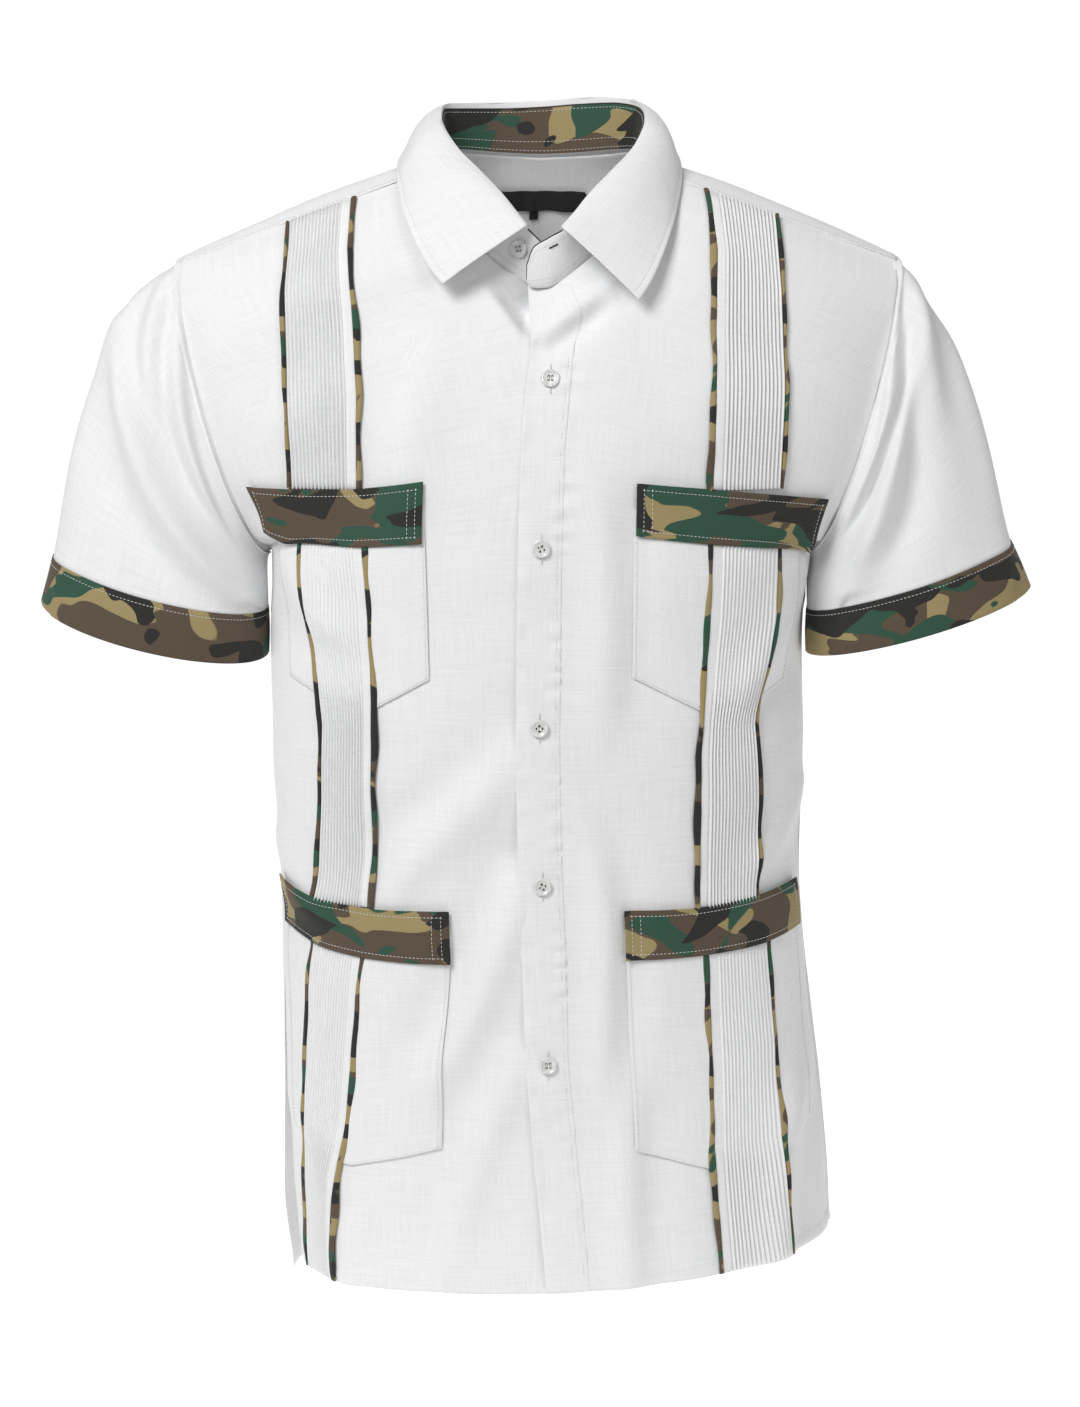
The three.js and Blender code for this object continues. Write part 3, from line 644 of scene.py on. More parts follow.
@dataclass
class ClothSheet:
    """A closed thin shell on a grid of points, with rounded rims."""

    name: str
    points: Array
    normals: Array
    thickness: float = CLOTH
    closed: bool = False
    shift: tuple[float, float] = (0.0, 0.0)

    def build(self, material: bpy.types.Material) -> bpy.types.Object:
        """Makes the shell and its cloth map.

        Args:
            material: its finish.

        Returns:
            The new object, at the origin.
        """
        rows, columns = self.points.shape[:2]
        outer = self.points.reshape(-1, 3)
        inner = (self.points - self.normals * self.thickness).reshape(-1, 3)
        top = np.arange(rows * columns).reshape(rows, columns)
        flat = cloth_map(self._wrapped(self.points), self.shift)
        spread = np.arange(flat.shape[0] * flat.shape[1]).reshape(flat.shape[:2])
        wrapped = self._wrapped(top)
        faces = [quads_of(wrapped), quads_of(wrapped)[:, ::-1] + len(outer)]
        corners = [quads_of(spread), quads_of(spread)[:, ::-1]]
        verts = [outer, inner]
        count = 2 * len(outer)
        pull = self._into_sheet()
        for ring, ring_map, forward in self._rings(wrapped, spread):
            middle = (outer[ring] + inner[ring]) / 2 - pull[ring] * self.thickness * 0.35
            bead = np.arange(len(middle)) + count
            for first, second in ((ring, bead), (bead, ring + len(outer))):
                strip = [np.roll(first, -1), first, second, np.roll(second, -1)]
                strip_map = [np.roll(ring_map, -1), ring_map, ring_map, np.roll(ring_map, -1)]
                if self.closed:
                    strip_map[0][-1] = strip_map[3][-1] = ring_map[-1]
                order = slice(None) if forward else slice(None, None, -1)
                faces.append(np.stack(strip, axis=1)[:, order])
                corners.append(np.stack(strip_map, axis=1)[:, order])
            count += len(middle)
            verts.append(middle)
        uv = flat.reshape(-1, 2)[np.concatenate(corners)]
        return mesh_object(self.name, np.concatenate(verts) * MM, np.concatenate(faces), uv, material)

    def _wrapped(self, grid: Array) -> Array:
        """The grid, with its first column again at the end where the sheet is a tube."""
        return np.concatenate([grid, grid[:, :1]], axis=1) if self.closed else grid

    def _rings(self, top: Array, spread: Array) -> list[tuple[Array, Array, bool]]:
        """The sheet's edges.

        Args:
            top: vertex numbers of the outer layer.
            spread: the matching numbers in the cloth map.

        Returns:
            For each edge, its vertices in order, their map numbers, and whether the faces turn with it.
        """
        if self.closed:
            return [(top[0, :-1], spread[0, :-1], True), (top[-1, :-1], spread[-1, :-1], False)]
        rings = [np.concatenate([g[0, :-1], g[:-1, -1], g[-1, :0:-1], g[:0:-1, 0]]) for g in (top, spread)]
        return [(rings[0], rings[1], True)]

    def _into_sheet(self) -> Array:
        """For each point on an edge, the direction from that edge into the sheet."""
        grid = self.points
        way = np.zeros_like(grid)
        way[0] += grid[1] - grid[0]
        way[-1] += grid[-2] - grid[-1]
        if not self.closed:
            way[:, 0] += grid[:, 1] - grid[:, 0]
            way[:, -1] += grid[:, -2] - grid[:, -1]
        size = np.maximum(np.linalg.norm(way, axis=-1, keepdims=True), 1e-9)
        return (way / size).reshape(-1, 3)


def quads_of(index: Array) -> Array:
    """The quads of a grid of vertex numbers.

    Args:
        index: rows by columns.

    Returns:
        One row of four numbers for each quad.
    """
    corners = (index[:-1, :-1], index[:-1, 1:], index[1:, 1:], index[1:, :-1])
    return np.stack([corner.ravel() for corner in corners], axis=1)


def mesh_object(name: str, verts: Array, faces: Array, uv: Array | None,
                material: bpy.types.Material) -> bpy.types.Object:
    """Makes an object from a closed mesh, with its faces outward.

    Args:
        name: the object's name.
        verts: vertices in metres.
        faces: quads of vertex numbers.
        uv: a cloth map value for each face corner, or None.
        material: its finish.

    Returns:
        The object.
    """
    a, b, c, d = (verts[faces[:, k]] for k in range(4))
    volume = np.sum(a * np.cross(b, c)) + np.sum(a * np.cross(c, d))
    if volume < 0:
        faces = faces[:, ::-1]
        uv = None if uv is None else uv[:, ::-1]
    mesh = bpy.data.meshes.new(name)
    mesh.vertices.add(len(verts))
    mesh.vertices.foreach_set("co", verts.astype(np.float32).ravel())
    mesh.loops.add(faces.size)
    mesh.loops.foreach_set("vertex_index", faces.astype(np.int32).ravel())
    mesh.polygons.add(len(faces))
    mesh.polygons.foreach_set("loop_start", np.arange(0, faces.size, 4, dtype=np.int32))
    mesh.update(calc_edges=True)
    if uv is not None:
        mesh.uv_layers.new(name="cloth").data.foreach_set("uv", uv.astype(np.float32).ravel())
    mesh.shade_smooth()
    mesh.materials.append(material)
    made = bpy.data.objects.new(name, mesh)
    bpy.context.scene.collection.objects.link(made)
    return made


def ring_faces(rings: int, around: int) -> Array:
    """The quads over rings of points, with both small ends closed onto each other.

    Args:
        rings: how many rings.
        around: points in each.

    Returns:
        One row of four numbers for each quad.
    """
    index = np.arange(rings * around).reshape(rings, around)
    loop = np.concatenate([index, index[:, :1]], axis=1)
    return np.concatenate([quads_of(loop), quads_of(np.stack([loop[-1], loop[0]]))])


def joined(parts: Sequence[tuple[Array, Array]]) -> tuple[Array, Array]:
    """Several meshes as one.

    Args:
        parts: vertices and quads of each.

    Returns:
        All the vertices, and the quads over them.
    """
    starts = np.cumsum([0] + [len(verts) for verts, _ in parts[:-1]])
    return (np.concatenate([verts for verts, _ in parts]),
            np.concatenate([faces + start for (_, faces), start in zip(parts, starts)]))


@dataclass(frozen=True)
class Cut:
    """The flat piece that a sheet was cut to, in metres, and how it hangs."""

    width: float
    length: float
    share: float = 1.0
    rests_on: tuple[str, ...] = ("yoke",)


def settle(piece: bpy.types.Object, nodes: Sequence[str],
           cut: Cut | None = None) -> bpy.types.Object:
    """Ties a finished piece to the frame and reports it.

    Args:
        piece: the object.
        nodes: the CAD nodes that it stands for.
        cut: its flat size, for cloth; its area is worked out but not used.

    Returns:
        The piece.
    """
    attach(piece, BODY)
    if nodes:
        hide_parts(*nodes)
    if cut is not None:
        cut.width * cut.length * cut.share
    area = sum(polygon.area for polygon in piece.data.polygons) / 2
    LOG.info("%s: %d faces, %.4f square metres a side", piece.name, len(piece.data.polygons), area)
    return piece


# --- Surfaces of the cut pieces ---

# Sections of the sleeves: top x, top z, foot x, foot z, depth, skew, bow, tilt.
ARMHOLE = {
    Side.LEFT: (239, -68, 181, -268, 46, 14, 12, 0),
    Side.RIGHT: (241, -69.5, 183, -268, 46, 14, 13, 0),
}
SLEEVE = {
    Side.LEFT: (
        (240, -68.5, 184, -269, 46, 14, 12, 0), (257, -84, 185, -275, 50, 9, 10, 0),
        (271, -111, 185, -281, 53, 4, 6, 0), (288.5, -152, 184.5, -289, 54, 1, 2, 1),
        (307, -207, 184.5, -298, 53, 0, 0, 2), (323, -262, 184.5, -308, 51, 0, 0, 4)),
    Side.RIGHT: (
        (242, -70, 186.5, -269, 46, 14, 13, 0), (264, -84, 188, -275, 50, 9, 10, 0),
        (285, -111, 188, -281, 53, 4, 6, 1), (301, -152, 188, -289, 54, 1, 2, 3),
        (317, -207, 188, -298, 53, 0, 0, 6), (332, -270, 188, -308, 51, 0, 0, 9)),
}
CUFF = {
    Side.LEFT: ((323.5, -262.5, 184.5, -308.5, 51, 0, 0, 4), (336, -293, 184.5, -338, 50, 0, 0, 6)),
    Side.RIGHT: ((332.3, -270.5, 188, -308.5, 51, 0, 0, 9), (342.5, -303, 188, -339, 49, 0, 0, 12)),
}
NECK_FRONT = ((66, -18, -8), (64, -34, -28), (54, -46, -46), (38, -56, -63), (20, -63, -77))
NECK_BACK = ((66, -18, -8), (68.5, 0, -1), (64, 20, 0), (50, 36, -1))
NECK_CENTRE_BACK = ((50, 36, -1), (34, 44, -2), (17, 47.5, -3), (0, 48, -4))
# Lines across a front: y and z of the inner end, turn at the armhole, bend point, weight.
FRONT_ROWS = (
    (-18, -8, 12, 150, -26, -38, 1.0), (-34, -28, 30, 150, -48, -54, 1.0),
    (-46, -46, 46, 150, -68, -72, 1.0), (-56, -63, 60, 150, -84, -88, 1.0),
    (-63, -77, 73, 150, -94, -102, 0.95), (-67, -86, 86, 150, -102, -118, 0.9),
    (-86, -122, 106, 152, -114, -152, 0.85), (-102, -165, 130, 156, -120, -196, 0.76),
    (-110, -212, 154, 166, -122, -238, 0.74), (-113, -262, 180, 181, -125, -271, 0.92),
)
# Below the armhole: y and z of the inner end, side edge of the left and right front, weight.
FRONT_LOWER_ROWS = (
    (-115, -325, (179.5, -330), (183.5, -330), 0.9), (-117, -400, (180.5, -404), (183.5, -404), 0.86),
    (-119, -480, (179, -482), (178.5, -484), 0.82), (-121, -560, (184, -558), (177, -562), 0.8),
    (-124, -640, (193, -634), (174.5, -644), 0.78), (-127, -705, (200, -694), (171.5, -712), 0.76),
    (-130, -757, (202, -741), (167, -767), 0.76),
)
FRONT_EDGE = {
    Side.LEFT: ((-84, -8.5), (-105, -1), (-122, -6), (-145, -8.5), (-190, -12.5), (-255, -14.5),
                (-382, -16), (-462, -14.6), (-523, -12), (-601, -10), (-658, -4.7), (-706, 0),
                (-757, 4.7)),
    Side.RIGHT: ((-84, -4), (-105, 4), (-122, 5), (-145, -4), (-190, -12), (-255, -14), (-757, -18)),
}
LAP_DROP = {Side.LEFT: 0.0, Side.RIGHT: 3.0}
BACK_ROWS = (
    (94, -97, -68, 140, 93, -104, 1.0), (104, -135, -90, 150, 102, -142, 0.95),
    (111, -175, -112, 155, 110, -184, 0.9), (114, -215, -140, 162, 116, -228, 0.85),
    (113, -262, -180, 178, 118, -268, 0.78),
)
BACK_LOWER_ROWS = (
    (109, -330, (179.5, -330), (183.5, -330)), (104, -404, (180.5, -404), (183.5, -404)),
    (103, -482, (179, -482), (178.5, -484)), (107, -560, (184, -558), (177, -562)),
    (113, -640, (193, -634), (177.5, -644)), (119, -710, (200, -694), (178.5, -716)),
    (124, -768, (203, -744), (172, -778)),
)
BACK_LOWER_WEIGHT = 0.78
YOKE_TURNS = (12, 0, -30, -68)
YOKE_SHOULDER_BENDS = ((150, -26, -38), (150, 0, -26), (150, 32, -28), (140, 68, -52))
YOKE_BACK_SHARES = (1, 0.667, 0.333, 0)
YOKE_BACK_BENDS = ((140, 68, -52), (92, 76, -46), (46, 77, -42), (0, 78, -40))
STAND_SEAM = (
    (-8.5, -73, -82), (-4, -73, -82.5), (5, -72.5, -81.5), (20, -66, -73), (37, -56.5, -58),
    (52, -44, -41), (62, -28, -17), (66, -8, 2), (64, 15, 4), (48, 34, 3), (25, 44, 1),
    (0, 46.5, 0), (-25, 44, 1), (-48, 34, 3), (-64, 15, 4), (-66, -8, 2), (-62, -28, -17),
    (-52, -44, -41), (-37, -55, -58), (-20, -61, -72), (-4, -66, -80.5), (2, -67.5, -80),
)
STAND_TOP = (
    (-8.5, -74.5, -71), (-4, -75.5, -60), (6, -77, -53.5), (17, -76, -47), (31, -62, -28),
    (50, -44, -12), (66, -24, 7), (70.5, 0, 24), (67, 22, 31), (50, 41, 34), (26, 52, 33),
    (0, 54, 31), (-26, 52, 30), (-50, 41, 30), (-65, 22, 30), (-66, -4, 20), (-56, -24, 5),
    (-40, -42, -13), (-25, -57, -27), (-12, -69, -44), (-4, -71.5, -52), (2, -71.5, -58),
)
FALL_TOP = (
    (14.5, -83, -46), (27, -72, -33), (45, -54, -13), (63, -32, 6), (71, -8, 23), (70, 12, 31),
    (62, 30, 36), (36, 49, 38), (0, 56, 35), (-36, 49, 34), (-62, 30, 33.5), (-68, 12, 29),
    (-65, -8, 20), (-54, -29, 3), (-38, -50, -13), (-21, -68, -31), (-9, -81, -45),
)
FALL_EDGE = (
    (65, -91, -93), (73, -85, -81), (84, -66, -57), (91, -42, -35), (95, -16, -12), (93, 10, -2),
    (78, 38, -6), (42, 66, -12), (0, 75, -15), (-42, 66, -13), (-79, 38, -7), (-94, 10, -2),
    (-96, -16, -13), (-93, -38, -31), (-86, -58, -49), (-74, -77, -71), (-64, -87, -83),
)
FALL_BULGE = (3, 4, 7, 8, 8, 7, 6, 5, 5, 5, 6, 7, 8, 8, 7, 4, 3)


def unit(vectors: Array) -> Array:
    """The vectors at length one."""
    return vectors / np.maximum(np.linalg.norm(vectors, axis=-1, keepdims=True), 1e-9)


def section_point(side: Side, section: Array, turn: Array) -> Array:
    """Points round a sleeve's section.

    Args:
        side: which sleeve.
        section: the section's eight numbers, for each point.
        turn: degrees from the top of the sleeve round the front.

    Returns:
        The points.
    """
    top_x, top_z, foot_x, foot_z, depth, skew, bow, tilt = np.moveaxis(np.asarray(section, float), -1, 0)
    sine, cosine = np.sin(np.radians(turn)), np.cos(np.radians(turn))
    share = (1 - cosine) / 2
    chord_x, chord_z = foot_x - top_x, foot_z - top_z
    out = np.abs(sine) * bow / np.hypot(chord_x, chord_z)
    x = side.value * (top_x + chord_x * share - chord_z * out)
    y = -(depth - skew * cosine) * sine
    return np.stack([x, y, top_z + chord_z * share + chord_x * out - tilt * sine], axis=-1)


def armhole(side: Side, turn: Array) -> Array:
    """Points on an armhole seam at those turns."""
    turn = np.asarray(turn, float)
    return section_point(side, np.broadcast_to(ARMHOLE[side], turn.shape + (8,)), turn)


class Surface:
    """A surface whose points are found from shares across and down."""

    wraps = False

    def at(self, across: Array, down: Array) -> Array:
        """Points at shares across and down."""
        raise NotImplementedError

    def middle(self, down: Array) -> Array:
        """Points that the surface looks away from: here, down the body's upright middle."""
        return np.stack([0 * down, 0 * down, -60 - 700 * down], axis=-1)

    def normal(self, across: Array, down: Array) -> Array:
        """Unit normals that look away from the surface's middle.

        Args:
            across: shares across.
            down: shares down.

        Returns:
            The normals.
        """
        across, down = np.broadcast_arrays(np.asarray(across, float), np.asarray(down, float))
        step = 0.004
        before, after = across - step, across + step
        if self.wraps:
            before, after = before % 1.0, after % 1.0
        else:
            before, after = np.maximum(before, 0), np.minimum(after, 1)
        wide = self.at(after, down) - self.at(before, down)
        tall = self.at(across, np.minimum(down + step, 1)) - self.at(across, np.maximum(down - step, 0))
        normal = unit(np.cross(wide, tall))
        here = self.at(across, down) - self.middle(down)
        return normal * np.where(np.sum(normal * here, axis=-1, keepdims=True) < 0, -1.0, 1.0)


class RowSurface(Surface):
    """A panel surface made from conics across it, one for each row of a table."""

    def __init__(self, side: Side, rows: Sequence[Sequence[float]]) -> None:
        """Keeps the rows.

        Args:
            side: the wearer's side.
            rows: inner point, outer point, bend point and weight of each line.
        """
        self.side = side
        self.rows = np.array(rows, float)

    def at(self, across: Array, down: Array) -> Array:
        """Points at shares across and down."""
        across, down = np.broadcast_arrays(np.asarray(across, float), np.asarray(down, float))
        row = between(self.rows, down * (len(self.rows) - 1))
        flip = np.array([self.side.value, 1.0, 1.0])
        return conic(row[..., 0:3] * flip, row[..., 6:9] * flip, row[..., 3:6] * flip, row[..., 9], across)

    def find(self, x: Array, z: Array) -> tuple[Array, Array]:
        """Where the surface shows at a place seen from the front.

        Args:
            x: distance from the centre on the wearer's own side.
            z: height.

        Returns:
            The shares across and down.
        """
        low, high = np.full(x.shape, 0.001), np.full(x.shape, 0.999)
        for _ in range(15):
            down = (low + high) / 2
            across = self._across(x, down)
            above = self.at(across, down)[..., 2] > z
            low, high = np.where(above, down, low), np.where(above, high, down)
        down = (low + high) / 2
        return self._across(x, down), down

    def _across(self, x: Array, down: Array) -> Array:
        """The share across at which the line at that share down reaches x."""
        row = between(self.rows, down * (len(self.rows) - 1))
        low, high = np.zeros(x.shape), np.ones(x.shape)
        for _ in range(15):
            share = (low + high) / 2
            here = conic(row[..., 0:1], row[..., 6:7], row[..., 3:4], row[..., 9], share)[..., 0]
            low, high = np.where(here < x, share, low), np.where(here < x, high, share)
        return (low + high) / 2


def front_surface(side: Side) -> RowSurface:
    """The inner face of one front.

    Args:
        side: the wearer's side.

    Returns:
        The surface.
    """
    drop = LAP_DROP[side]
    rows = []
    for number, (y, z, turn, bend_x, bend_y, bend_z, weight) in enumerate(FRONT_ROWS):
        out = armhole(side, np.array(turn))
        on_neck = number < len(NECK_FRONT)
        inner_x = NECK_FRONT[number][0] if on_neck else float(read_off(FRONT_EDGE[side], z))
        own = 0.0 if number < len(NECK_FRONT) - 1 else drop
        rows.append((inner_x, y + own, z, abs(out[0]), out[1], out[2], bend_x, bend_y + own, bend_z, weight))
    for y, z, left, right, weight in FRONT_LOWER_ROWS:
        out_x, out_z = left if side is Side.LEFT else right
        rows.append((float(read_off(FRONT_EDGE[side], z)), y + drop, z, out_x, -0.2, out_z,
                     out_x, y + drop - 4, z + 0.7 * (out_z - z), weight))
    return RowSurface(side, rows)


def back_surface(side: Side) -> RowSurface:
    """The inner face of one half of the back.

    Args:
        side: the wearer's side.

    Returns:
        The surface, from the centre outward.
    """
    rows = []
    for y, z, turn, bend_x, bend_y, bend_z, weight in BACK_ROWS:
        out = armhole(side, np.array(turn))
        rows.append((0, y, z, abs(out[0]), out[1], out[2], bend_x, bend_y, bend_z, weight))
    for y, z, left, right in BACK_LOWER_ROWS:
        out_x, out_z = left if side is Side.LEFT else right
        rows.append((0, y, z, out_x, 0.2, out_z, out_x, y + 4, z + 0.7 * (out_z - z), BACK_LOWER_WEIGHT))
    return RowSurface(side, rows)


class WholeBack(Surface):
    """The back from the wearer's left side seam to the right one."""

    def __init__(self) -> None:
        """Makes the two halves."""
        self.halves = {side: back_surface(side) for side in Side}

    def at(self, across: Array, down: Array) -> Array:
        """Points at shares across and down."""
        across, down = np.broadcast_arrays(np.asarray(across, float), np.asarray(down, float))
        left = self.halves[Side.LEFT].at(np.clip(1 - 2 * across, 0, 1), down)
        right = self.halves[Side.RIGHT].at(np.clip(2 * across - 1, 0, 1), down)
        return np.where(across[..., None] < 0.5, left, right)


class YokeSurface(Surface):
    """The yoke, from the neck seam out; across runs from the left front round to the right."""

    def middle(self, down: Array) -> Array:
        """A point well under the yoke."""
        return np.array([0.0, 0.0, -200.0])

    def at(self, across: Array, down: Array) -> Array:
        """Points at shares round the neck (across) and out from it (down)."""
        across, down = np.broadcast_arrays(np.asarray(across, float), np.asarray(down, float))
        place = 12 * np.where(across > 0.5, 1 - across, across)
        sides = [self._half(side, place, down) for side in (Side.LEFT, Side.RIGHT)]
        return np.where((across <= 0.5)[..., None], *sides)

    @staticmethod
    def _half(side: Side, place: Array, down: Array) -> Array:
        """Points on one side's half.

        Args:
            side: the wearer's side.
            place: 0 at the front seam, 3 at the back of the shoulder and 6 at the centre back.
            down: shares out from the neck.

        Returns:
            The points.
        """
        flip = np.array([side.value, 1.0, 1.0])
        shoulder, centre = np.clip(place, 0, 3), np.clip(place - 3, 0, 3)
        first = conic(between(NECK_BACK, shoulder) * flip, between(YOKE_SHOULDER_BENDS, shoulder) * flip,
                      armhole(side, between(np.array(YOKE_TURNS)[:, None], shoulder)[..., 0]), 1.0, down)
        share = between(np.array(YOKE_BACK_SHARES)[:, None], centre)[..., 0]
        second = conic(between(NECK_CENTRE_BACK, centre) * flip, between(YOKE_BACK_BENDS, centre) * flip,
                       back_surface(side).at(share, np.zeros(share.shape)), 1.0, down)
        return np.where((place <= 3)[..., None], first, second)


class BandSurface(Surface):
    """A surface ruled between two lines, which may bulge outward."""

    def middle(self, down: Array) -> Array:
        """A point in the middle of the neck."""
        return np.array([0.0, -8.0, -30.0])

    def __init__(self, top: Sequence, foot: Sequence, bulge: Sequence[float] | None = None) -> None:
        """Keeps the lines.

        Args:
            top: points of the upper line.
            foot: the matching points of the lower line.
            bulge: how far it bows out at each of them.
        """
        self.top = np.array(top, float)
        self.foot = np.array(foot, float)
        self.bulge = np.zeros(len(top)) if bulge is None else np.array(bulge, float)

    def at(self, across: Array, down: Array) -> Array:
        """Points at shares along (across) and down."""
        across, down = np.broadcast_arrays(np.asarray(across, float), np.asarray(down, float))
        place = across * (len(self.top) - 1)
        point = between(self.top, place) * (1 - down[..., None]) + between(self.foot, place) * down[..., None]
        swell = between(self.bulge[:, None], place)[..., 0] * np.sin(np.pi * np.sqrt(np.clip(down, 0, 1)))
        return point + unit(point * np.array([1.0, 1.0, 0.0])) * swell[..., None]


class TubeSurface(Surface):
    """A sleeve or cuff; across is once round from the underarm, and down runs to its opening."""

    wraps = True

    def __init__(self, side: Side, sections: Sequence) -> None:
        """Keeps the sections.

        Args:
            side: which sleeve.
            sections: section tables from the armhole down.
        """
        self.side = side
        self.sections = np.array(sections, float)

    def at(self, across: Array, down: Array) -> Array:
        """Points at shares round (across) and down."""
        across, down = np.broadcast_arrays(np.asarray(across, float), np.asarray(down, float))
        section = between(self.sections, down * (len(self.sections) - 1))
        return section_point(self.side, section, 360 * across - 180)

    def middle(self, down: Array) -> Array:
        """Points down the tube's own middle."""
        return sum(self.at(np.full(np.shape(down), share), down) for share in (0.0, 0.25, 0.5, 0.75)) / 4


# --- Stitches ---


@dataclass
class Stitching:
    """Runs of machine stitches, set by one geometry node tree."""

    name: str = "topstitching"
    pitch: float = 2.7
    stitch: float = 2.05
    thread: float = 0.23
    runs: list[Array] = field(default_factory=list)

    def add(self, points: Array) -> None:
        """Adds one run.

        Args:
            points: points of the seam line in millimetres, on the cloth's face.
        """
        self.runs.append(np.asarray(points, float))

    def row(self, grid: Array, ends: tuple[float, float], down: float, count: int) -> None:
        """Adds a run along a row of a grid.

        Args:
            grid: points of the cloth's face.
            ends: shares across of the run's ends.
            down: the row's share down.
            count: how many points follow the cloth.
        """
        self.add(sample_grid(grid, np.linspace(*ends, count), np.full(count, down)))

    def build(self, material: bpy.types.Material) -> bpy.types.Object:
        """Sets the stitches along every run.

        Args:
            material: the thread's finish.

        Returns:
            One plain mesh with all the stitches.
        """
        mesh = bpy.data.meshes.new(self.name + "_lines")
        verts = np.concatenate(self.runs) * MM
        starts = np.cumsum([0] + [len(run) for run in self.runs[:-1]])
        edges = np.concatenate([
            np.stack([np.arange(len(run) - 1), np.arange(1, len(run))], axis=1) + start
            for run, start in zip(self.runs, starts)])
        mesh.from_pydata(verts.tolist(), edges.tolist(), [])
        lines = bpy.data.objects.new(self.name + "_lines", mesh)
        bpy.context.scene.collection.objects.link(lines)
        group, sockets = self._tree(material)
        modifier = lines.modifiers.new("stitches", "NODES")
        modifier.node_group = group
        for name, value in (("Pitch", self.pitch), ("Stitch", self.stitch), ("Thread", self.thread)):
            modifier[sockets[name]] = value * MM
        evaluated = lines.evaluated_get(bpy.context.evaluated_depsgraph_get())
        made = bpy.data.objects.new(self.name, bpy.data.meshes.new_from_object(evaluated))
        bpy.context.scene.collection.objects.link(made)
        bpy.data.objects.remove(lines)
        return made

    @staticmethod
    def _tree(material: bpy.types.Material) -> tuple[bpy.types.NodeTree, dict[str, str]]:
        """The tree that sets a thread on a line at even steps.

        Args:
            material: the thread's finish.

        Returns:
            The tree, and its inputs' identifiers by name.
        """
        group = bpy.data.node_groups.new("stitch_run", "GeometryNodeTree")
        tree = Tree(group)
        group.interface.new_socket("Geometry", in_out="INPUT", socket_type="NodeSocketGeometry")
        sockets = {}
        for name in ("Pitch", "Stitch", "Thread"):
            made = group.interface.new_socket(name, in_out="INPUT", socket_type="NodeSocketFloat")
            sockets[name] = made.identifier
        group.interface.new_socket("Geometry", in_out="OUTPUT", socket_type="NodeSocketGeometry")
        start = tree.node("NodeGroupInput")
        curve = tree.node("GeometryNodeMeshToCurve", None, {"Mesh": start.outputs["Geometry"]})
        steps = tree.node("GeometryNodeResampleCurve", {"mode": "LENGTH"}, {
            "Curve": curve.outputs[0], "Length": start.outputs["Pitch"]})
        along = tree.node("GeometryNodeInputTangent")
        turn = tree.node("FunctionNodeAlignRotationToVector", {"axis": "Z"}, {"Vector": along.outputs[0]})
        length = Value(tree, start.outputs["Stitch"]) * 0.5
        size = tree.node("ShaderNodeCombineXYZ", None, {
            "X": start.outputs["Thread"], "Y": start.outputs["Thread"], "Z": length})
        bead = tree.node("GeometryNodeMeshUVSphere", None, {"Segments": 6, "Rings": 4, "Radius": 1.0})
        placed = tree.node("GeometryNodeInstanceOnPoints", None, {
            "Points": steps.outputs[0], "Instance": bead.outputs[0], "Rotation": turn.outputs[0],
            "Scale": size.outputs[0]})
        real = tree.node("GeometryNodeRealizeInstances", None, {"Geometry": placed.outputs[0]})
        smooth = tree.node("GeometryNodeSetShadeSmooth", None, {"Geometry": real.outputs[0]})
        dressed = tree.node("GeometryNodeSetMaterial", None, {
            "Geometry": smooth.outputs[0], "Material": material})
        tree.node("NodeGroupOutput", None, {"Geometry": dressed.outputs[0]})
        return group, sockets


# --- Fronts and what is sewn on them ---


class Layer(Enum):
    """Heights of the outer faces of the layers on a front, in millimetres over its pattern."""

    PANEL = 1.1
    PLACKET = 1.75
    POCKET = 2.6
    BAND = 3.4
    PIPING = 4.0
    FLAP = 5.4


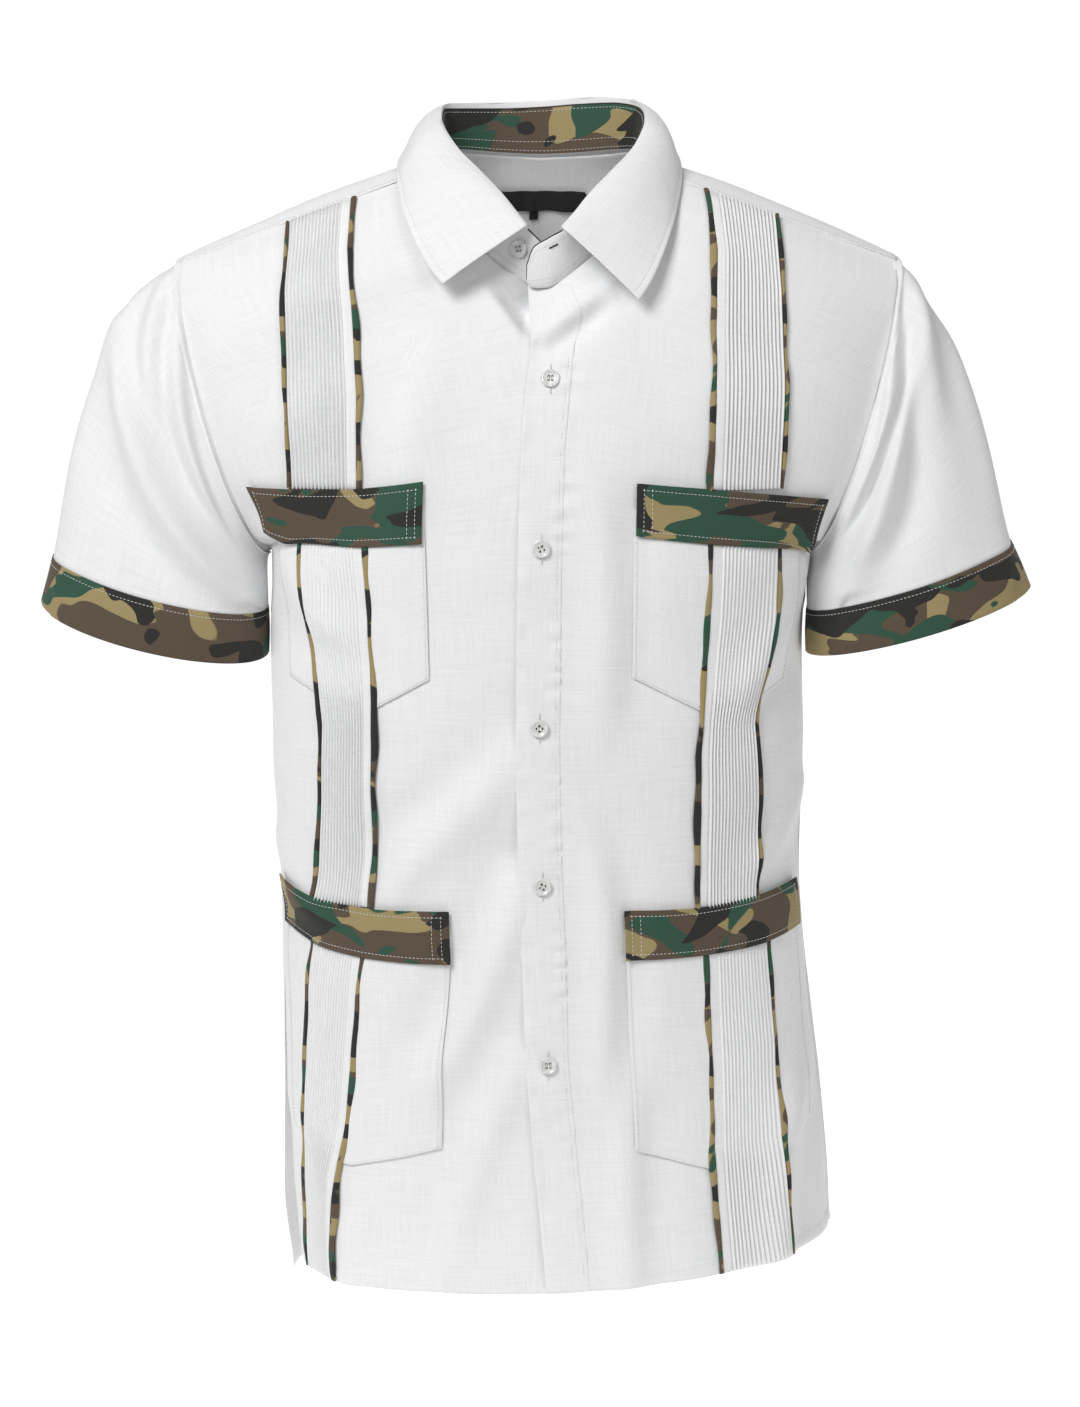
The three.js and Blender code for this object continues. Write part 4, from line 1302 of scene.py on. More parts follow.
@dataclass
class FrontPanel:
    """One front, the pieces sewn on it, and the folds that all of them share."""

    side: Side
    wardrobe: Wardrobe
    stitching: Stitching
    folds: Sequence = ()
    columns: int = 110
    rows: int = 260
    cut: Cut = Cut(0.285, 0.79, 0.86, ("yoke",))

    def __post_init__(self) -> None:
        """Makes the pattern surface."""
        self.surface = front_surface(self.side)

    def place(self, x: Array, z: Array, height: float | Array) -> tuple[Array, Array]:
        """Points on the folded front, by where they show from the front.

        Args:
            x: distance from the centre on the wearer's own side.
            z: height.
            height: height over the pattern surface.

        Returns:
            The points and the pattern's normals there.
        """
        across, down = self.surface.find(np.asarray(x, float), np.asarray(z, float))
        return self.lifted(across, down, height)

    def lifted(self, across: Array, down: Array, height: float | Array) -> tuple[Array, Array]:
        """Points on the folded front, by shares of the pattern.

        Args:
            across: shares across.
            down: shares down.
            height: height over the pattern surface.

        Returns:
            The points and the pattern's normals there.
        """
        point = self.surface.at(across, down)
        normal = self.surface.normal(across, down)
        lift = lift_of(self.folds, point[..., 0] * self.side.value, point[..., 2])
        edge = np.clip(across / 0.02, 0, 1) * np.clip((1 - across) / 0.03, 0, 1) * np.clip(down / 0.01, 0, 1)
        lift = lift * (0.25 + 0.75 * edge)
        return point + normal * (lift + height)[..., None], normal

    def panel(self) -> bpy.types.Object:
        """Makes the front itself, with its hem."""
        across = np.linspace(0, 1, self.columns + 1) ** 0.93
        down = np.linspace(0, 1, self.rows + 1)
        a, d = np.meshgrid(across, down)
        seen = self.surface.at(a, d)
        foot = self.surface.at(across, np.ones(across.shape))[:, 2]
        above = seen[..., 2] - foot[None, :]
        turned = 0.45 * np.clip((HEM + 0.6 - above) / 1.2, 0, 1)
        pucker = 0.22 * np.sin(seen[..., 0] * 0.9) * np.exp(-((above - HEM) / 4.0) ** 2)
        points, normals = self.lifted(a, d, Layer.PANEL.value + turned + pucker)
        sheet = ClothSheet(f"front_{self.side.word}_cloth", points, normals)
        piece = sheet.build(self.wardrobe.white)
        row = np.linspace(0.01, 0.995, 160)
        hem, _ = self.lifted(row, self._down_above(row, HEM), Layer.PANEL.value + 0.12)
        self.stitching.add(hem)
        return settle(piece, [f"front_{self.side.word}"], self.cut)

    def _down_above(self, across: Array, height: float) -> Array:
        """The share down at which the front is that far above its hem."""
        span = self.surface.at(across, np.full(across.shape, 0.98))[:, 2] - self.surface.at(
            across, np.ones(across.shape))[:, 2]
        return 1 - 0.02 * height / span

    def edge_height(self, x: Array, down: float) -> Array:
        """The height of the shoulder seam (0) or the hem (1) at x."""
        share = np.full(x.shape, float(down))
        return self.surface.at(self.surface._across(x, share), share)[..., 2]

    def overlay(self, name: str, node: str, grid_x: Array, grid_z: Array, height: Array | float,
                material: bpy.types.Material, slot: Slot, cut: Cut, thickness: float = CLOTH,
                shift: tuple[float, float] = (0.0, 0.0)) -> bpy.types.Object:
        """Makes a piece sewn over the front.

        Args:
            name: the piece's name.
            node: the CAD node that it stands for.
            grid_x: x of its grid, on the wearer's own side.
            grid_z: the matching heights.
            height: height of its outer face.
            material: its finish.
            slot: its material slot; not used.
            cut: its flat size.
            thickness: of the shell.
            shift: where on the printed cloth it is cut, in metres.

        Returns:
            The piece.
        """
        points, normals = self.place(grid_x, grid_z, height + np.zeros(grid_x.shape))
        sheet = ClothSheet(name, points, normals, thickness, shift=shift)
        return settle(sheet.build(material), [node], cut)


# Edges of the tucked bands, inner then outer: (height, x) from the centre on the wearer's side.
BANDS = {
    Side.LEFT: {
        "upper": (((-27, 112), (-68, 117.5), (-145, 116), (-216, 114)),
                  ((-35, 157), (-82, 160), (-147, 161), (-216, 159))),
        "middle": (((-251, 113.5), (-303, 112), (-356, 109), (-397, 106), (-497, 106.5)),
                   ((-251, 157), (-307, 152.5), (-355, 145), (-375, 141.5), (-430, 144.5), (-497, 144))),
        "lower": (((-525, 112.5), (-601, 116), (-663, 117.5), (-757, 124)),
                  ((-530, 150.5), (-597, 157.5), (-662, 158.5), (-706, 163), (-757, 170))),
    },
    Side.RIGHT: {
        "upper": (((-32, 126), (-68, 128), (-113, 124), (-158, 121.5), (-216, 121.5)),
                  ((-53, 168), (-82, 169.5), (-160, 167), (-216, 164.5))),
        "middle": (((-251, 117.5), (-303, 114), (-357, 111.5), (-411, 112), (-497, 114)),
                   ((-251, 157.5), (-308, 152), (-355, 146.5), (-376, 144), (-430, 146), (-497, 148.5))),
        "lower": (((-529, 119), (-629, 128), (-692, 134), (-757, 139)),
                  ((-529, 152), (-627, 157.5), (-700, 160), (-757, 160))),
    },
}
BAND_ENDS = {"upper": (None, -218.0), "middle": (-249.0, -499.0), "lower": (-527.0, None)}
BAND_CUT_LENGTH = {"upper": 0.2, "middle": 0.255, "lower": 0.24}
# Corners of flaps and pockets from the inner side outward: x and z of the upper, then lower end.
FLAPS = {
    ("chest", Side.LEFT): ((63.5, -213, 63, -247), (113, -217, 113, -254), (157, -222, 156, -259),
                           (191, -227, 178, -261)),
    ("chest", Side.RIGHT): ((76, -212, 77, -253), (121, -217, 122, -256), (160, -218, 163, -254),
                            (195, -219, 182, -247)),
    ("low", Side.LEFT): ((56, -498, 57, -531), (107, -498, 107, -530), (148, -494, 146, -527),
                         (174, -491, 174, -522)),
    ("low", Side.RIGHT): ((60.5, -499, 60, -535), (114, -499, 112, -533), (148, -496, 148, -529),
                          (173, -488, 171, -520)),
}
POCKETS = {
    ("chest", Side.LEFT): ((62, -230, 61, -341), (106, -232, 106, -365), (146, -236, 146, -360),
                           (172, -240, 166, -351)),
    ("chest", Side.RIGHT): ((76, -230, 73, -343), (112, -232, 111, -365), (149, -233, 147, -357),
                            (174, -233, 167, -347)),
    ("low", Side.LEFT): ((57, -512, 63, -660), (112, -512, 115, -677), (148, -510, 158, -672),
                         (173, -507, 187, -655)),
    ("low", Side.RIGHT): ((60, -514, 66, -661), (114, -514, 126, -679), (148, -511, 150, -672),
                          (172, -504, 168, -662)),
}


@dataclass
class TuckedBand:
    """A stretch of pin tucks between two strips of camouflage piping."""

    front: FrontPanel
    part: str
    tucks: int = 15
    plain: float = 0.13
    tuck_height: float = 3.2
    crest: float = 0.62
    per_tuck: int = 8
    row_step: float = 6.0
    piping: tuple[float, float] = (4.5, 3.2)
    cut_width: float = 0.105
    piping_shares: tuple[float, float] = (0.7, 0.55)

    def build(self) -> list[bpy.types.Object]:
        """Makes the band and its two pipings."""
        inner, outer = BANDS[self.front.side][self.part]
        top, foot = BAND_ENDS[self.part]
        middle = (inner[0][1] + outer[0][1]) / 2
        tall = [(self.front.edge_height(np.array([middle]), 0)[0] if top is None else top),
                (self.front.edge_height(np.array([middle]), 1)[0] if foot is None else foot)]
        rows = max(int((tall[0] - tall[1]) / self.row_step), 12)
        count = int(self.tucks * self.per_tuck)
        across = np.concatenate([np.linspace(0, self.plain, 5)[:-1],
                                 np.linspace(self.plain, 1, count + 1)])
        level = np.linspace(tall[0], tall[1], rows + 1)
        pieces = [self._strip("band", across, rows, (read_off(inner, level), read_off(outer, level)))]
        for place, table, sign, wide in (("inner", inner, -1, self.piping[0]),
                                         ("outer", outer, 1, self.piping[1])):
            near, far = (read_off(table, level) + sign * out for out in (0.2, self._width(level, wide)))
            edges = (far, near) if sign < 0 else (near, far)
            pieces.append(self._strip(f"piping_{place}", np.linspace(0, 1, 7), rows, edges))
        return pieces

    def _width(self, level: Array, wide: float) -> Array:
        """How wide the piping shows, a little uneven down its length."""
        phase = 1.7 * self.front.side.value + 0.9 * wide
        return wide * (0.84 + 0.17 * np.sin(level / 19 + phase) + 0.12 * np.sin(level / 7.3 + 2 * phase))

    def _strip(self, kind: str, across: Array, rows: int, edges: tuple[Array, Array]) -> bpy.types.Object:
        """Makes one strip of the band.

        Args:
            kind: "band", "piping_inner" or "piping_outer".
            across: shares across.
            rows: steps down.
            edges: the x of its two edges at each row.

        Returns:
            The piece.
        """
        from_x, to_x = edges
        x = from_x[:, None] + (to_x - from_x)[:, None] * across[None, :]
        share = np.linspace(0, 1, rows + 1)[:, None]
        top, foot = BAND_ENDS[self.part]
        high = self.front.edge_height(x[0], 0) - 1.0 if top is None else np.full(x.shape[1], top)
        low = self.front.edge_height(x[-1], 1) + 0.4 if foot is None else np.full(x.shape[1], foot)
        z = high[None, :] * (1 - share) + low[None, :] * share
        word = self.front.side.word
        if kind == "band":
            height = Layer.BAND.value + self._tucks(across)[None, :]
            return self.front.overlay(f"tucks_{self.part}_{word}", f"band_{self.part}_{word}", x, z, height,
                                      self.front.wardrobe.white, Slot.WHITE,
                                      Cut(self.cut_width, BAND_CUT_LENGTH[self.part]))
        round_top = 1.0 * np.sqrt(np.clip(1 - (2 * across - 1) ** 2, 0, 1))
        wave = 0.25 * np.sin(z / 5.1 + x[:, :1] * 0.3)
        place = kind.split("_")[1]
        cut = Cut(0.01, BAND_CUT_LENGTH[self.part], self.piping_shares[int(place == "outer")])
        return self.front.overlay(
            f"{kind}_{self.part}_{word}_cloth", f"piping_{self.part}_{place}_{word}", x, z,
            Layer.PIPING.value - 0.5 + round_top[None, :] + wave, self.front.wardrobe.camo, Slot.CAMO,
            cut, 1.0, (0.4 * len(place) + 0.1 * self.front.side.value, 0.33 * len(self.part)))

    def _tucks(self, across: Array) -> Array:
        """The heights of the tucks across the band."""
        share = np.clip((across - self.plain) / (1 - self.plain), 0, 1) * self.tucks
        phase = share - np.floor(share)
        if self.front.side is Side.RIGHT:
            phase = 1 - phase
        rising = np.sin(phase / self.crest * np.pi / 2)
        falling = np.cos((phase - self.crest) / (1 - self.crest) * np.pi / 2)
        ridge = np.where(phase < self.crest, rising, falling)
        tuck = self.tuck_height * (ridge - 0.6)
        return np.where(across <= self.plain, -0.1, tuck)


def station_grid(stations: Sequence[Sequence[float]], across: Array, down: Array) -> tuple[Array, Array]:
    """x and z over a four-sided piece with stations along it.

    Args:
        stations: x and z of the upper, then lower end at each station.
        across: shares along the stations.
        down: shares from upper to lower end.

    Returns:
        The x and z grids, rows down by columns across.
    """
    table = np.array(stations, float)
    place = across * (len(table) - 1)
    at = [np.interp(place, np.arange(len(table)), table[:, k]) for k in range(4)]
    share = down[:, None]
    return at[0] * (1 - share) + at[2] * share, at[1] * (1 - share) + at[3] * share


def smoothed(line: Array, span: int) -> Array:
    """Columns of values smoothed along the first axis, with their ends kept.

    Args:
        line: the values, one row for each place.
        span: how many rows on each side are blended.

    Returns:
        The smoothed values.
    """
    kernel = np.hanning(2 * span + 3)[1:-1]
    kernel /= kernel.sum()
    padded = np.concatenate([2 * line[:1] - line[span:0:-1], line, 2 * line[-1:] - line[-2:-span - 2:-1]])
    return np.stack([np.convolve(column, kernel, "valid") for column in padded.T], axis=1)


@dataclass
class PocketSet:
    """One pocket and its camouflage flap."""

    front: FrontPanel
    place: str
    inset: float = 3.6
    cuts: tuple[Cut, Cut] = (Cut(0.125, 0.15, 0.92), Cut(0.135, 0.19, 0.95))
    flap_cut: Cut = Cut(0.13, 0.045)

    def build(self) -> list[bpy.types.Object]:
        """Makes the pocket and the flap, and stitches them."""
        return [self._pocket(), self._flap()]

    def _pocket(self) -> bpy.types.Object:
        """Makes the pocket, with its turned edges and edge stitches."""
        stations = POCKETS[self.place, self.front.side]
        across, down = np.linspace(0, 1, 61), np.linspace(0, 1, 61)
        x, z = station_grid(stations, across, down)
        wide, tall = 110.0, 125.0 if self.place == "chest" else 160.0
        a, d = np.meshgrid(across, down)
        from_edge = np.minimum(np.minimum(a * wide, (1 - a) * wide), (1 - d) * tall)
        turned = 0.25 * np.clip((6.5 - from_edge) / 1.5, 0, 1)
        seam = 0.55 * np.exp(-((from_edge - 1.6) / 0.8) ** 2)
        slack = 0.9 * np.clip(from_edge / 14, 0, 1) ** 1.5
        pucker = 0.18 * np.sin((a * wide + d * tall) * 1.1) * np.exp(-((from_edge - 1.6) / 3.5) ** 2)
        height = Layer.POCKET.value + turned - seam + slack + pucker
        word = self.front.side.word
        side, end = 1.7 / wide, 1.7 / tall
        sides = np.linspace(0.05, 1 - end, 60)
        for line in ((np.array([side]), sides), (np.array([1 - side]), sides),
                     (np.linspace(side, 1 - side, 90), np.array([1 - end]))):
            line_x, line_z = station_grid(stations, *line)
            seam_height = Layer.POCKET.value + 0.08 + np.zeros(line_x.size)
            self.front.stitching.add(self.front.place(line_x.ravel(), line_z.ravel(), seam_height)[0])
        return self.front.overlay(
            f"{self.place}_pocket_{word}_cloth", f"pocket_{self.place}_{word}", x, z, height,
            self.front.wardrobe.white, Slot.WHITE, self.cuts[int(self.place == "low")])

    def _flap(self) -> bpy.types.Object:
        """Makes the flap, with its topstitch."""
        stations = FLAPS[self.place, self.front.side]
        across, down = np.linspace(0, 1, 91), np.linspace(0, 1, 25)
        x, z = (smoothed(grid.T, 8).T for grid in station_grid(stations, across, down))
        wide, tall = (120.0 if self.place == "chest" else 117.0), 34.0
        a, d = np.meshgrid(across, down)
        sag = -1.4 * np.sin(np.pi * a) * (1 - d * 0.3)
        z = z + sag * (0.6 if self.front.side is Side.LEFT else 1.0)
        from_edge = np.minimum(np.minimum(a * wide, (1 - a) * wide), np.minimum(d, 1 - d) * tall)
        groove = 0.35 * np.exp(-((from_edge - self.inset) / 0.8) ** 2)
        puff = 0.5 * np.clip(from_edge / 9, 0, 1) + 0.25 * np.sin(a * 9.0 + 2 * d) * d
        height = Layer.FLAP.value - groove + puff - 0.9 * (1 - d) ** 2 + 0.5 * d * d
        word = self.front.side.word
        index = int(self.place == "low") * 2 + int(self.front.side is Side.LEFT)
        side, end = self.inset / wide, self.inset / tall
        for share in (side, 1 - side, 2.2 * side):
            self._stitch((x, z, height), np.full(20, share), np.linspace(end, 1 - end, 20))
        for share in (end, 1 - end):
            self._stitch((x, z, height), np.linspace(side, 1 - side, 120), np.full(120, share))
        return self.front.overlay(
            f"{self.place}_flap_{word}_cloth", f"flap_{self.place}_{word}", x, z, height,
            self.front.wardrobe.camo, Slot.CAMO, self.flap_cut, 1.2, (0.171 + 0.217 * index, 0.09 * index))

    def _stitch(self, grids: tuple[Array, Array, Array], along: Array, down: Array) -> None:
        """Stitches a line given by shares of the flap.

        Args:
            grids: x, z and height over the flap.
            along: shares across of the line.
            down: shares down of the line.
        """
        x, z, height = (sample_grid(grid, along, down) for grid in grids)
        self.front.stitching.add(self.front.place(x, z, height + 0.12)[0])


def sample_grid(grid: Array, across: Array, down: Array) -> Array:
    """Values of a grid at shares across and down.

    Args:
        grid: rows by columns, or rows by columns by parts.
        across: shares across.
        down: shares down.

    Returns:
        The values.
    """
    i = np.clip(across * (grid.shape[1] - 1), 0, grid.shape[1] - 1.0001)
    j = np.clip(down * (grid.shape[0] - 1), 0, grid.shape[0] - 1.0001)
    i0, j0 = i.astype(int), j.astype(int)
    fi, fj = (i - i0), (j - j0)
    if grid.ndim == 3:
        fi, fj = fi[:, None], fj[:, None]
    return ((grid[j0, i0] * (1 - fi) + grid[j0, i0 + 1] * fi) * (1 - fj)
            + (grid[j0 + 1, i0] * (1 - fi) + grid[j0 + 1, i0 + 1] * fi) * fj)


@dataclass
class Placket:
    """The buttonhole strip and the buttons down it."""

    front: FrontPanel
    width: float = 29.0
    inset: float = 15.5
    heights: tuple[float, ...] = (-145, -255, -374, -480, -601)
    cut: Cut = Cut(0.035, 0.69)

    def build(self) -> list[bpy.types.Object]:
        """Makes the strip and its buttons."""
        level = np.linspace(-84.5, -757, 241)
        across = np.linspace(0, 1, 25)
        edge = read_off(FRONT_EDGE[Side.LEFT], level)
        x = edge[:, None] + 0.3 + across[None, :] * (self.width - 0.3)
        low = self.front.edge_height(x[-1], 1) + 0.4
        share = np.linspace(0, 1, len(level))[:, None]
        z = -84.5 * (1 - share) + low[None, :] * share
        from_edge = across[None, :] * self.width
        step = -0.5 * np.clip((from_edge - self.width + 2.2) / 1.6, 0, 1)
        seam = -0.4 * np.exp(-((from_edge - self.width + 3.0) / 1.0) ** 2)
        beat = np.sin(z / 2.6 + 1.9 * np.sin(z / 13.7)) * (0.6 + 0.4 * np.sin(z / 31.0))
        pucker = 0.9 * beat * np.exp(-((from_edge - self.width + 3.0) / 5.0) ** 2)
        near = 0.6 * np.sin(z / 4.1 + 1.1 * np.sin(z / 17.0)) * np.exp(-(from_edge / 5.0) ** 2)
        sewn = np.clip((-86 - z) / 32, 0, 1)
        flush = Layer.PANEL.value + 0.1
        raised = np.maximum(Layer.PLACKET.value - flush + step + seam + pucker + near, 0.2)
        height = flush + sewn * raised
        seam_z = np.linspace(-118, -745, 300)
        points, _ = self.front.place(read_off(FRONT_EDGE[Side.LEFT], seam_z) + self.width - 3.0, seam_z,
                                     Layer.PLACKET.value - 0.15 + np.zeros(300))
        self.front.stitching.add(points)
        strip = self.front.overlay("placket_cloth", "placket", x, z, height, self.front.wardrobe.white,
                                   Slot.WHITE, self.cut)
        pieces = [strip]
        for number, height_z in enumerate(self.heights):
            middle = float(read_off(FRONT_EDGE[Side.LEFT], height_z)) + self.inset
            foot, normal = self.front.place(np.array([middle]), np.array([float(height_z)]),
                                            np.array([Layer.PLACKET.value]))
            pieces += Button(f"button_{number + 1}", foot[0], normal[0], self.front.wardrobe,
                             turn=23.0 * number).build()
        return pieces


@dataclass
class Button:
    """A four-hole shirt button, sewn on with white thread over its buttonhole."""

    node: str
    foot: Array
    normal: Array
    wardrobe: Wardrobe
    radius: float = 6.1
    thick: float = 2.3
    hole: float = 0.85
    hole_circle: float = 1.75
    turn: float = 0.0
    upright: bool = True

    def build(self) -> list[bpy.types.Object]:
        """Makes the button, with painted shade in its holes, and its thread and buttonhole stitches."""
        tall = unit(np.array([0.0, 0.0, 1.0]) - self.normal * self.normal[2])
        wide = np.cross(tall, self.normal)
        self.axes = np.stack([wide, tall, self.normal])
        profile = np.array([
            (0.0, 0.0), (4.4, 0.0), (5.6, 0.45), (6.1, 1.15), (5.95, 1.85), (5.45, 2.25), (4.95, 2.3),
            (4.5, 2.1), (4.1, 1.72), (3.4, 1.5), (2.6, 1.42), (0.0, 1.42)])
        profile = profile * np.array([self.radius / 6.1, self.thick / 2.3]) + np.array([0.0, 0.35])
        parts = [self._lathe(profile, 40)]
        # The holes are not cut: a dark disc in each one is painted shade inside the hole.
        for k in range(4):
            angle = math.radians(45 + 90 * k + self.turn)
            ring = self._lathe(np.array([(0.0, 1.5), (self.hole, 1.5), (self.hole, 1.84), (0.0, 1.84)]), 12)
            ring[0][:, :2] += np.array([math.cos(angle), math.sin(angle)]) * self.hole_circle
            parts.append(ring)
        verts, faces = joined(parts)
        points = self.foot + verts @ self.axes
        piece = mesh_object(f"{self.node}_pearl", points * MM, faces, None, self.wardrobe.pearl)
        # The hole discs take the dark binding finish, as painted shade in the holes.
        piece.data.materials.append(self.wardrobe.binding)
        for polygon in list(piece.data.polygons)[len(parts[0][1]):]:
            polygon.material_index = 1
        settle(piece, [self.node])
        return [piece, self._thread()]

    @staticmethod
    def _lathe(profile: Array, count: int) -> tuple[Array, Array]:
        """A closed turned shape.

        Args:
            profile: (radius, height) points from the axis round to the axis.
            count: steps round.

        Returns:
            Vertices and quads; the two ends meet in small rings.
        """
        profile = np.array(profile, float)
        profile[0, 0] = profile[-1, 0] = 0.02
        angle = np.linspace(0, 2 * np.pi, count, endpoint=False)
        verts = np.stack([profile[:, :1] * np.cos(angle), profile[:, :1] * np.sin(angle),
                          np.broadcast_to(profile[:, 1:], (len(profile), count))], axis=-1).reshape(-1, 3)
        return verts, ring_faces(len(profile), count)

    def _thread(self) -> bpy.types.Object:
        """Makes the thread across the holes and the bars above and below the button."""
        bars = []
        hole = self.hole_circle * 0.71
        for across in (-hole, hole):
            bars.append(((across, -hole, 1.95), (across, hole, 1.95), 0.33))
        if self.upright:
            near, far = self.radius + 0.2, self.radius + 3.4
            for low, high in ((near, far), (-far, -near)):
                bars.append(((0.0, low, 0.35), (0.0, high, 0.35), 0.5))
        verts, faces = joined([capsule(np.array(low), np.array(high), size) for low, high, size in bars])
        points = (self.foot + verts @ self.axes) * MM
        made = mesh_object(f"{self.node}_thread", points, faces, None, self.wardrobe.thread)
        return settle(made, [])


def capsule(start: Array, end: Array, radius: float, around: int = 8, rings: int = 5) -> tuple[Array, Array]:
    """A bar with round ends.

    Args:
        start: one end.
        end: the other.
        radius: its radius.
        around: steps round.
        rings: rings at each end.

    Returns:
        Vertices and quads.
    """
    along = unit(end - start)
    side = unit(np.cross(along, [0.31, 0.23, 0.92]))
    up = np.cross(along, side)
    angle = np.linspace(0, 2 * np.pi, around, endpoint=False)
    circle = np.cos(angle)[:, None] * side + np.sin(angle)[:, None] * up
    loops = []
    for middle, way in ((start, -1.0), (end, 1.0)):
        tips = np.linspace(0.96, 0.0, rings) if way < 0 else np.linspace(0.0, 0.96, rings)
        for tip in tips:
            loops.append(middle + along * way * tip * radius + circle * radius * math.sqrt(1 - tip ** 2))
    return np.concatenate(loops), ring_faces(len(loops), around)


# --- Back, yoke and sleeves ---


@dataclass
class BackPanel:
    """The back, from the yoke seam to the hem."""

    wardrobe: Wardrobe
    stitching: Stitching
    folds: Sequence = ()
    cut: Cut = Cut(0.52, 0.71, 0.93)

    def build(self) -> bpy.types.Object:
        """Makes the back with its hem and seam stitches."""
        surface = WholeBack()
        a, d = np.meshgrid(np.linspace(0, 1, 141), np.linspace(0, 1, 171))
        pattern = surface.at(a, d)
        normals = surface.normal(a, d)
        edge = np.clip(a / 0.02, 0, 1) * np.clip((1 - a) / 0.02, 0, 1) * np.clip(d / 0.015, 0, 1)
        lift = lift_of(self.folds, pattern[..., 0], pattern[..., 2]) * (0.2 + 0.8 * edge)
        above = pattern[..., 2] - pattern[-1:, :, 2]
        turned = 0.45 * np.clip((HEM + 0.6 - above) / 1.2, 0, 1)
        points = pattern + normals * (Layer.PANEL.value + lift + turned)[..., None]
        for row in (0.989, 0.005):
            self.stitching.row(points + normals * 0.15, (0.01, 0.99), row, 300)
        piece = ClothSheet("back_cloth", points, normals).build(self.wardrobe.white)
        return settle(piece, ["back"], self.cut)


@dataclass
class Yoke:
    """The double yoke, with the black label and the size tab sewn inside it."""

    wardrobe: Wardrobe
    stitching: Stitching
    folds: Sequence = ()
    cut: Cut = Cut(0.5, 0.3, 0.5, ("collar_stand",))

    def build(self) -> list[bpy.types.Object]:
        """Makes the yoke, its label and its tab."""
        surface = YokeSurface()
        a, d = np.meshgrid(np.linspace(0, 1, 181), np.linspace(0, 1, 51))
        pattern, normals = surface.at(a, d), surface.normal(a, d)
        lift = lift_of(self.folds, pattern[..., 0], pattern[..., 1])
        points = pattern + normals * (Layer.PANEL.value + 0.35 + lift)[..., None]
        piece = ClothSheet("yoke_cloth", points, normals, 0.8).build(self.wardrobe.white)
        settle(piece, ["yoke"], self.cut)
        front_edges = np.linspace(0.04, 0.96, 90)
        for share in (0.012, 0.988):
            self.stitching.add(sample_grid(points + normals * 0.15, np.full(90, share), front_edges))
        self.stitching.row(points + normals * 0.15, (0.27, 0.73), 0.96, 240)
        return [piece, self._tag("label", (0.27, 0.43), (-0.92, 0.92), 61, 1.6, Cut(0.072, 0.02)),
                self._tag("size_tab", (0.44, 0.5), (-0.15, -0.03), 7, 0.2, Cut(0.01, 0.01, 0.6))]

    def _tag(self, node: str, down: tuple[float, float], half: tuple[float, float], columns: int,
             wave: float, cut: Cut) -> bpy.types.Object:
        """Makes a bare woven tag on the yoke's inside.

        Args:
            node: its CAD node.
            down: shares from the neck to the back seam.
            half: places along the back seam, of each half.
            columns: points across.
            wave: how much it ripples, in millimetres.
            cut: its flat size.

        Returns:
            The tag.
        """
        surface = YokeSurface()
        place = 0.5 - np.linspace(half[0], half[1], columns) / 12
        a, d = np.meshgrid(place, np.linspace(down[0], down[1], 15))
        pattern, normals = surface.at(a, d), surface.normal(a, d)
        loose = 0.4 + 0.6 * (d - down[0]) / (down[1] - down[0])
        ripple = wave * (0.5 + 0.5 * np.sin(a * 150.0 + 0.6) * loose)
        points = pattern - normals * (0.9 + ripple)[..., None]
        piece = ClothSheet(f"{node}_tape", points, -normals, 0.5).build(self.wardrobe.tape)
        return settle(piece, [node], cut)


